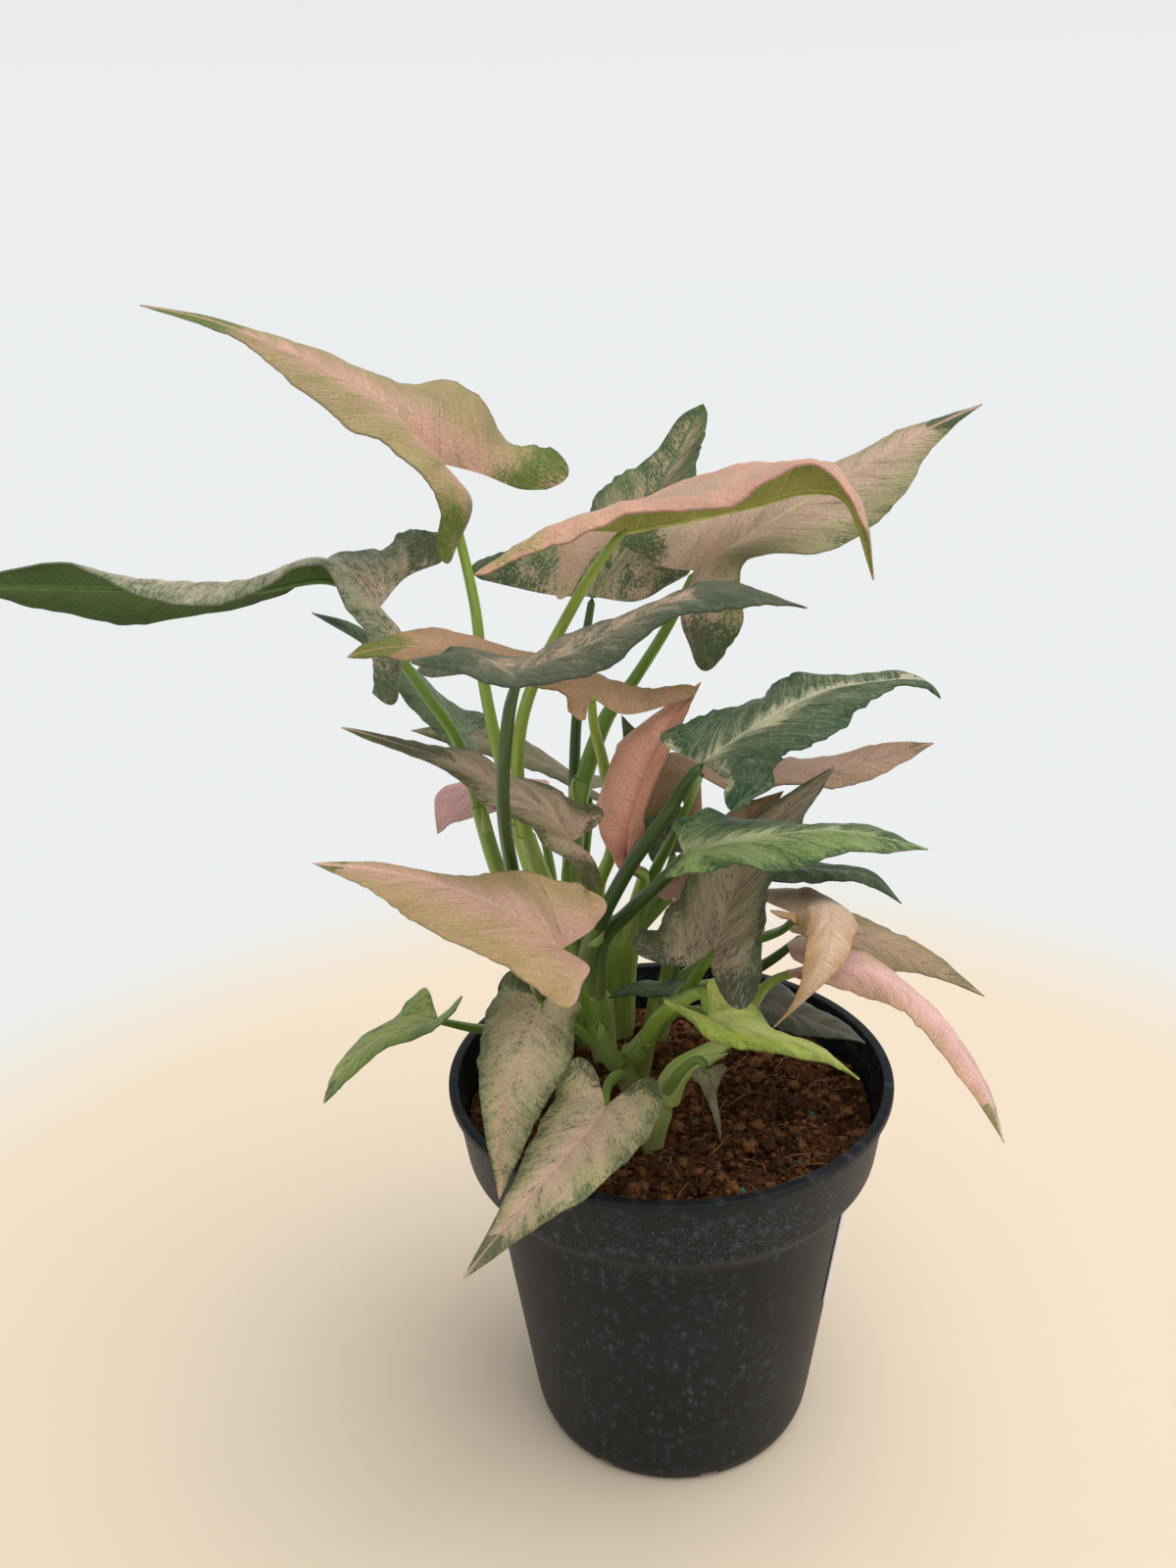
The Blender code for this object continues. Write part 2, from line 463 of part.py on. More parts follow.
def pot_inner_radius(height):
    """Radius of the pot's inner wall at a height."""
    stations = [(FLOOR, FOOT_RADIUS - WALL), (BODY_FOOT, BODY_FOOT_RADIUS - WALL),
                (STEP_FOOT, STEP_RADIUS - WALL), (COLLAR_FOOT + WALL, COLLAR_FOOT_RADIUS - WALL),
                (POT_HEIGHT, COLLAR_TOP_RADIUS - WALL)]
    for (low, near), (high, far) in zip(stations, stations[1:]):
        if height <= high:
            share = (height - low) / (high - low)
            return near + share * (far - near)
    return stations[-1][1]


def make_pot(group):
    """The nursery pot: one thin wall, with a lip, a collar, a step and a rounded foot."""
    inside = [(0.0, FLOOR), (FOOT_RADIUS - WALL - FOOT_ROUND / 2.0, FLOOR),
              (BODY_FOOT_RADIUS - WALL - 1.0, FLOOR + FOOT_ROUND)]
    inside += [(pot_inner_radius(height), height)
               for height in (BODY_FOOT, STEP_FOOT, COLLAR_FOOT + WALL, POT_HEIGHT)]
    outside = [(RIM_RADIUS, POT_HEIGHT), (RIM_RADIUS, POT_HEIGHT - LIP_HEIGHT),
               (COLLAR_TOP_RADIUS, POT_HEIGHT - LIP_HEIGHT - 0.5),
               (COLLAR_FOOT_RADIUS, COLLAR_FOOT), (STEP_RADIUS, STEP_FOOT),
               (BODY_FOOT_RADIUS, BODY_FOOT), (BODY_FOOT_RADIUS - 1.0, FOOT_ROUND),
               (FOOT_RADIUS + 0.6, 1.0), (FOOT_RADIUS - 1.0, 0.0), (0.0, 0.0)]
    pot = turned("pot", inside + outside, group, "pot", POT_SIDES)
    cutters = new_collection("pot cutters")
    for index in range(DRAIN_HOLES):
        turn = 2.0 * pi * (index + DRAIN_HOLE_TURN) / DRAIN_HOLES
        bpy.ops.mesh.primitive_cylinder_add(
            vertices=DRAIN_HOLE_SIDES, radius=DRAIN_HOLE_RADIUS * MM, depth=4.0 * FLOOR * MM,
            location=(DRAIN_RING_RADIUS * MM * cos(turn), DRAIN_RING_RADIUS * MM * sin(turn), 0.0))
        move_to(bpy.context.object, cutters)
    for index in range(FOOT_SLOTS):
        turn = 2.0 * pi * (index + FOOT_SLOT_TURN) / FOOT_SLOTS
        bpy.ops.mesh.primitive_cube_add(size=1.0)
        slot = bpy.context.object
        slot.data.transform(Matrix.Diagonal(
            (FOOT_SLOT_LENGTH * MM, FOOT_SLOT_WIDTH * MM, 2.0 * FOOT_SLOT_HEIGHT * MM, 1.0)))
        slot.location = (FOOT_RADIUS * MM * cos(turn), FOOT_RADIUS * MM * sin(turn), 0.0)
        slot.rotation_euler = (0.0, 0.0, turn)
        move_to(slot, cutters)
    bpy.context.view_layer.update()
    boolean(pot, "DIFFERENCE", cutters, "MANIFOLD")
    drop_collection(cutters)
    soften(pot, SHARP_FROM)


def move_to(piece, group):
    """Put a new object in a collection of cutters, out of the render."""
    for holder in list(piece.users_collection):
        holder.objects.unlink(piece)
    group.objects.link(piece)
    piece.hide_render = True
    piece.display_type = "WIRE"


def make_label(group):
    """A blank sticker that follows the pot's tapered body."""
    slope = (STEP_RADIUS - BODY_FOOT_RADIUS) / (STEP_FOOT - BODY_FOOT)
    vertices = []
    for height in (LABEL_TOP, LABEL_FOOT):
        radius = BODY_FOOT_RADIUS + slope * (height - BODY_FOOT) + GAP
        for column in range(LABEL_COLUMNS + 1):
            turn = radians(LABEL_FROM + (LABEL_TO - LABEL_FROM) * column / LABEL_COLUMNS)
            vertices.append((radius * cos(turn), radius * sin(turn), height))
    width = LABEL_COLUMNS + 1
    faces = [(c, c + width, c + width + 1, c + 1) for c in range(LABEL_COLUMNS)]
    label = add_mesh("label", vertices, faces, group, "label")
    wall = label.modifiers.new("Solidify", "SOLIDIFY")
    wall.thickness = LABEL_THICKNESS * MM
    wall.offset = 1.0


def soil_height(x, y):
    """Height of the lumpy soil at a place."""
    lumps = sin(0.17 * x + 1.0) * cos(0.21 * y) + 0.6 * sin(0.43 * y - 0.31 * x)
    return SOIL_TOP + SOIL_LUMP * lumps


def make_soil(group, shoots):
    """The soil: it fills the pot, its top is lumpy, and the shoots stand in holes in it."""
    body = [(FLOOR + SOIL_EASE, FOOT_RADIUS - WALL - 3.0),
            (FLOOR + FOOT_ROUND + SOIL_EASE, BODY_FOOT_RADIUS - WALL - 1.8)]
    body += [(height, pot_inner_radius(height) - SOIL_EASE)
             for height in (BODY_FOOT, STEP_FOOT, COLLAR_FOOT + 1.0, SOIL_TOP - 2.0)]
    vertices = [(0.0, 0.0, body[0][0])]
    turns = [2.0 * pi * side / SOIL_SIDES for side in range(SOIL_SIDES)]
    for height, radius in body:
        vertices += [(radius * cos(turn), radius * sin(turn), height) for turn in turns]
    for radius in reversed(SOIL_RINGS[1:]):
        vertices += [(radius * cos(turn), radius * sin(turn),
                      soil_height(radius * cos(turn), radius * sin(turn))) for turn in turns]
    vertices.append((0.0, 0.0, soil_height(0.0, 0.0)))
    rings = len(body) + len(SOIL_RINGS) - 1
    faces = []
    for side in range(SOIL_SIDES):
        after = (side + 1) % SOIL_SIDES
        faces.append((0, 1 + after, 1 + side))
        for ring in range(rings - 1):
            low = 1 + ring * SOIL_SIDES
            high = low + SOIL_SIDES
            faces.append((low + side, low + after, high + after, high + side))
        last = 1 + (rings - 1) * SOIL_SIDES
        faces.append((last + side, last + after, len(vertices) - 1))
    soil = add_mesh("soil", vertices, faces, group, "soil")
    holes = new_collection("soil holes")
    for name, shoot in shoots.items():
        route = [(x, y, z, radius + SOIL_HOLE_EASE + GAP) for x, y, z, radius in shoot["core"][:2]]
        foot, above = Vector(route[0][:3]), Vector(route[1][:3])
        lower = foot + (foot - above).normalized() * GAP * 2.0
        route[0] = (*lower, route[0][3])
        hole = tube(name + "_hole", extended(route), holes, "soil", 2)
        move_to(hole, holes)
    boolean(soil, "DIFFERENCE", holes)
    drop_collection(holes)


def extended(route):
    """A route with its last point moved on, clear of the soil's top."""
    before, last = Vector(route[-2][:3]), Vector(route[-1][:3])
    beyond = last + (last - before).normalized() * HOLE_REACH
    return route[:-1] + [(*beyond, route[-1][3])]


def catmull_rom(points, place):
    """The point at a place along a smooth curve, where whole numbers are its own points."""
    count = len(points) - 1
    start = min(max(int(place), 0), count - 1)
    t = place - start
    b, c = points[start], points[start + 1]
    a = points[start - 1] if start > 0 else 2.0 * b - c
    d = points[start + 2] if start + 2 <= count else 2.0 * c - b
    return 0.5 * (2.0 * b + (c - a) * t + (2.0 * a - 5.0 * b + 4.0 * c - d) * t * t
                  + (3.0 * b - a - 3.0 * c + d) * t ** 3)


def tube(name, route, group, colour, resolution):
    """A round stalk along points that each have their own radius, as a mesh."""
    shape = bpy.data.curves.new(name, "CURVE")
    shape.dimensions = "3D"
    shape.bevel_depth = MM
    shape.bevel_resolution = resolution
    shape.use_fill_caps = True
    spline = shape.splines.new("POLY")
    spline.points.add(len(route) - 1)
    for point, (x, y, z, radius) in zip(spline.points, route):
        point.co = (x * MM, y * MM, z * MM, 1.0)
        point.radius = radius
    curve = bpy.data.objects.new(name, shape)
    group.objects.link(curve)
    graph = bpy.context.evaluated_depsgraph_get()
    mesh = bpy.data.meshes.new_from_object(curve.evaluated_get(graph))
    bpy.data.objects.remove(curve, do_unlink=True)
    skin = bmesh.new()
    skin.from_mesh(mesh)
    bmesh.ops.remove_doubles(skin, verts=skin.verts, dist=0.000001)
    bmesh.ops.recalc_face_normals(skin, faces=skin.faces)
    skin.to_mesh(mesh)
    skin.free()
    mesh.materials.clear()
    mesh.materials.append(material(colour))
    piece = bpy.data.objects.new(name, mesh)
    group.objects.link(piece)
    return piece


def smooth_route(points, steps):
    """Points with radii along a smooth curve through a stalk's own points."""
    values = [Vector(point) for point in points]
    count = (len(values) - 1) * steps
    return [tuple(catmull_rom(values, index / steps)) for index in range(count + 1)]


def stalk_route(blade, points):
    """A stalk's points, with a last one just short of its blade's joint."""
    joint = Vector(BLADES[blade]["rib"][0])
    way = (joint - Vector(points[-1][:3])).normalized()
    end = joint - way * STALK_REACH
    return points + [(*end, STALK_END_RADIUS)]


def make_shoot(name, shoot, group):
    """A shoot: its sheathed core and the stalks that rise from it, joined into one body."""
    piece = tube(name, smooth_route(shoot["core"], CURVE_STEPS), group, "stalk", 2)
    stalks = new_collection(name + " stalks")
    for blade, points in shoot["stalks"].items():
        route = smooth_route(stalk_route(blade, points), CURVE_STEPS)
        tube(name + "_" + blade, route, stalks, "stalk", 1)
    boolean(piece, "UNION", stalks)
    drop_collection(stalks)
    soften(piece, SHARP_FROM)


def half_blade(blade, side):
    """One half of a blade, as rows of points from the lobe's end to the tip.

    Each row runs from the inner edge, which is the rib beyond the joint, to the margin.
    """
    key = "right" if side > 0 else "left"
    rib = [Vector(point) for point in blade["rib"]]
    margin = [Vector(point) for point in blade[key]]
    notch = [Vector(point) for point in blade.get(key + "_notch", [])]
    end = margin[0]
    inner_way = (notch + rib)[0] - end
    outer_way = margin[1] - end
    into = (inner_way.normalized() + outer_way.normalized()).normalized()
    across = outer_way - inner_way
    across = across - across.dot(into) * into
    half_end = min(blade["ends"][0 if side < 0 else 1], LOBE_END_SHARE * across.length)
    across = across.normalized() * half_end
    inner = [end - across] + notch + rib[:1]
    outer = [end + across] + margin[1:] + [rib[-1]]
    steps = blade["rows"]
    arch = blade["arch"][0 if side < 0 else 1]
    height, ripples = blade["wave"]
    joint = len(inner) - 1
    count = (len(outer) - 1) * steps
    rows = []
    normal = Vector((0.0, 0.0, 1.0))
    for index in range(count + 1):
        place = index / steps
        if place < joint:
            a = catmull_rom(inner, place)
            ahead = catmull_rom(inner, place + LOOK_ROUND)
            behind = catmull_rom(inner, place - LOOK_ROUND)
        else:
            a = catmull_rom(rib, place - joint)
            ahead = catmull_rom(rib, place - joint + LOOK_ROUND)
            behind = catmull_rom(rib, place - joint - LOOK_ROUND)
        b = catmull_rom(outer, place)
        face = ((b - a) * side).cross(ahead - behind)
        if face.length > 1.0e-6:
            normal = face.normalized()
        width = (b - a).length
        fade = min(1.0, width / FULL_RIPPLE_WIDTH)
        ripple = height * fade * sin(2.0 * pi * ripples * index / count + RIPPLE_SHIFT * side)
        middle = (a + b) / 2.0 + normal * (arch * width)
        if index == 0:
            middle = middle - into * across.length * LOBE_END_BULGE
        rows.append([a, middle, b + normal * ripple])
    return rows


def make_blade(name, blade, group):
    """A leaf blade: two halves that meet along the rib, with the wall's thickness added."""
    skin = bmesh.new()
    for side in (-1, 1):
        rows = half_blade(blade, side)
        grid = [[skin.verts.new(point * MM) for point in row] for row in rows]
        for near, far in zip(grid, grid[1:]):
            for column in range(len(near) - 1):
                corners = (near[column], near[column + 1], far[column + 1], far[column])
                skin.faces.new(corners if side > 0 else reversed(corners))
    bmesh.ops.remove_doubles(skin, verts=skin.verts, dist=0.00005)
    bmesh.ops.triangulate(skin, faces=skin.faces)
    mesh = bpy.data.meshes.new("blade_" + name)
    skin.to_mesh(mesh)
    skin.free()
    mesh.materials.append(material(blade["colour"]))
    piece = bpy.data.objects.new("blade_" + name, mesh)
    group.objects.link(piece)
    wall = piece.modifiers.new("Solidify", "SOLIDIFY")
    wall.thickness = BLADE_THICKNESS * MM
    wall.offset = 0.0
    apply_modifiers(piece)
    soften(piece, SHARP_FROM)


def make_stubs(group):
    """The cut end of an old stalk and a yellowed dead stalk, which stand in the soil."""
    for name, points in STUBS.items():
        tube(name, smooth_route(points, CURVE_STEPS), group, "stub", 2)


def main():
    """Build the plant and its pot."""
    clear_scene()
    plant = new_collection("arrowhead plant")
    make_pot(plant)
    make_label(plant)
    holes = {**SHOOTS, **{name: {"core": points} for name, points in STUBS.items()}}
    make_soil(plant, holes)
    for name, shoot in SHOOTS.items():
        make_shoot(name, shoot, plant)
    make_stubs(plant)
    for name, blade in BLADES.items():
        make_blade(name, blade, plant)


main()
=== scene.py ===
"""Looks of the potted arrowhead plant: pot, label, soil, stalks and leaf blades.

Points are in millimetres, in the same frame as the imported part. Each leaf blade is drawn between
its rib and its two margins, which repeat the part's own points, and its colours follow the leaf:
centre, margins, lobes, tip, rib, side veins and flecks.
"""
import random
from math import atan2, cos, pi, radians, sin, sqrt

import bpy
from mathutils import Matrix, Vector, noise


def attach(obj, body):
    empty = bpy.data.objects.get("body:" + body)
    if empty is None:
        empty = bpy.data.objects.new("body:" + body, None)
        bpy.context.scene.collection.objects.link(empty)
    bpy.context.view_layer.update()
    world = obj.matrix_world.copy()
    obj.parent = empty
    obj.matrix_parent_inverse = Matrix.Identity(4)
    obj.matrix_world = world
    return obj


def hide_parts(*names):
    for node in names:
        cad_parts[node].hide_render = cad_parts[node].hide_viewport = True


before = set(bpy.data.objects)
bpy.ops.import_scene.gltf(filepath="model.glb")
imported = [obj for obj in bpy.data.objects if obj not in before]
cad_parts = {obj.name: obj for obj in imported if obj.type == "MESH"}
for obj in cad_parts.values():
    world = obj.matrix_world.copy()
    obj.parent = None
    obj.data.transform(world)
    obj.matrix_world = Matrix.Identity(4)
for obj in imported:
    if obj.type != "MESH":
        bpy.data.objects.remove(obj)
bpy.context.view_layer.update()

MM = 0.001
RANDOM_SEED = 7

# Camera, fitted to the pot's rim and outline in the photograph
CAMERA_PLACE = (0.0, -362.0, 346.0)
CAMERA_YAW = -3.42
CAMERA_PITCH = 21.04
CAMERA_ROLL = -1.66
CAMERA_LENS = 32.63

# Pot
RIM_RADIUS = 65.0
POT_HEIGHT = 117.0
LIP_HEIGHT = 2.5
COLLAR_TOP_RADIUS = 63.3
COLLAR_FOOT_RADIUS = 60.3
COLLAR_FOOT = 93.0
STEP_RADIUS = 54.4
STEP_FOOT = 88.7
BODY_FOOT_RADIUS = 43.8
BODY_FOOT = 10.7
FOOT_RADIUS = 40.7
WALL = 1.2
FLOOR = 2.0
CENTRE_RADIUS = 6.0
DRAIN_HOLES = 6
DRAIN_HOLE_RADIUS = 3.5
DRAIN_RING_RADIUS = 25.0
DRAIN_TURN = 0.41
FOOT_SLOTS = 8
FOOT_SLOT_WIDTH = 6.0
FOOT_SLOT_HEIGHT = 3.0
FOOT_SLOT_DEPTH = 14.0
FOOT_SLOT_TURN = 0.35
POT_SIDES = 144
CORNER_STEPS = 5
POT_CHART_RADIUS = 55.0
POT_DARK = (9, 12, 15)
POT_LIGHT = (16, 21, 26)
POT_FLECK = (88, 94, 102)
# Grey of the collar's dust, and of the painted sheen on its right
POT_DUST_AND_SHEEN = (120, 126, 134)
POT_FLECK_SIZE = 2.5
POT_GRIT_SIZE = 0.75

# Blank label, which goes from one place to another in degrees round the pot
LABEL_GAP = 0.3
LABEL_FROM = -24.0
LABEL_TO = 20.0
LABEL_TOP = 86.0
LABEL_FOOT = 47.0
LABEL_CORNER = 2.5
LABEL_PAPER = 0.35
LABEL_COLUMNS = 28
LABEL_ROWS = 26
LABEL_SHADE = (224, 224, 226)
LABEL_WHITE = (236, 236, 238)

# Soil
SOIL_TOP = 102.5
SOIL_LUMP = 1.3
SOIL_CELLS = 180
SOIL_GAP = 0.6
SOIL_EDGE = 6.0
SOIL_FOOT = FLOOR + 0.5
SOIL_DARK = (46, 26, 11)
SOIL_LIGHT = (104, 62, 32)
# Painted shade in the soil's hollows
SOIL_HOLLOW_SHADE = (16, 9, 5)
# The dark and the light tone of each kind of loose crumb
CRUMB_TONES = {
    "soil_crumbs_dark": ((44, 25, 11), (92, 55, 28)),
    "soil_crumbs_light": ((86, 52, 26), (142, 94, 54)),
}
# How many coarse crumbs and fine ones, and how many shapes they are copies of
LUMPS = 620
BITS = 2600
LUMP_MODELS = 6
BIT_MODELS = 8
# Each kind of coir fibre: how many, the shortest and the longest, and its two tones
FIBRE_KINDS = {
    "soil_fibres_dark": (900, (2.0, 6.0), (72, 42, 20), (124, 78, 42)),
    "soil_fibres_pale": (240, (3.0, 10.0), (112, 76, 46), (164, 122, 80)),
}
FIBRE_MODELS = 8
FIBRE_SPANS = 6
FIBRE_RADIUS = 0.022
# Feed granules: two at chosen places and the rest scattered
GRANULE_PLACES = [(36.0, -28.0), (19.5, -41.0)]
GRANULES = 16
GRANULE_REACH = 52.0
GRANULE_DARK = (40, 104, 84)
GRANULE_LIGHT = (70, 134, 104)

# Leaves
BLADE_THICKNESS = 0.45
ROWS_PER_SPAN = 10
COLUMNS = 10
VEIN_SPACING = 7.0
VEIN_SLANT = 0.7
LEAF_ROUGHNESS = 0.42
UNDER_ROUGHNESS = 0.55
SPECK_SIZE = 0.75
GRIT_SIZE = 0.32
PATCH_SIZE = 5.0
NET_SIZE = 1.7
FLECK_DEPTH = 0.9
FLECK_WASH = 0.42
UNDER_FLECKS = 0.35
QUILT = 0.18
RIB_WIDTH = 0.9
RIB_SIDES = 8
# What most blades have for arch and ends, and most leaves for fade and streaks
USUAL_ARCH = (0.10, 0.10)
USUAL_ENDS = (3, 3)
USUAL_FADE = (0.1, 1.0)
USUAL_STREAKS = (0.1, 0.42)
UNDER_STREAKS = (0.1, 0.2)

# Stalks and their sheaths, with the light and the dark tone of each kind
STALK_TONES = {
    "stalk_yellow": ((164, 182, 84), (120, 146, 38)),
    "stalk_green": ((124, 154, 60), (80, 112, 26)),
    "stalk_dark": ((74, 98, 46), (42, 62, 20)),
    "stalk_sheath": ((172, 188, 98), (118, 146, 46)),
}
# The pale colour of a stalk's foot, partly its own and partly painted light against the shade near
# the soil
STALK_FOOT = (210, 212, 148)
STALK_FOOT_REACH = 40.0
STALK_MARK = (86, 78, 40)
STALK_SIDES = 14
CORE_SIDES = 28
CORE_TAPER = 0.13
CORE_TAPER_STEPS = 5
STALK_STEP = 2.0
STALK_END_RADIUS = 1.1
SHEATH_HALF_TURN = 128.0
SHEATH_FIT = 0.2
SHEATH_WALL = 0.3
SHEATH_COLUMNS = 12
SHEATH_TIP_HALF_TURN = 0.34 * SHEATH_HALF_TURN
SHEATH_TIP_STEPS = 4
SHEATH_TIP_DARK = (142, 160, 80)
SHEATH_TIP_LIGHT = (180, 188, 118)
# The finish of each stub, with its two tones
STUB_TONES = {
    "old_stub": ("dry_stalk", (168, 162, 104), (206, 198, 150)),
    "dead_stalk": ("dead_stalk_yellow", (186, 140, 40), (212, 176, 74)),
}

# Studio, in metres. The surround has its horizon colour up to one share of the way up, and its
# overhead colour from another.
FLOOR_RADIUS = 12.0
FLOOR_NEAR = (235, 216, 192)
FLOOR_FAR = (223, 224, 223)
FLOOR_NEAR_REACH = 0.27
FLOOR_FAR_REACH = 0.42
HORIZON_COLOUR = (236, 239, 238)
OVERHEAD_COLOUR = (184, 190, 195)
HORIZON_TO = 0.08
OVERHEAD_FROM = 0.75
KEY_PLACE = (0.34, -0.12, 1.1)
KEY_POWER = 2.2
KEY_SPREAD = 66.0
KEY_TINT = (1.0, 0.99, 0.97)
AMBIENT = 0.87

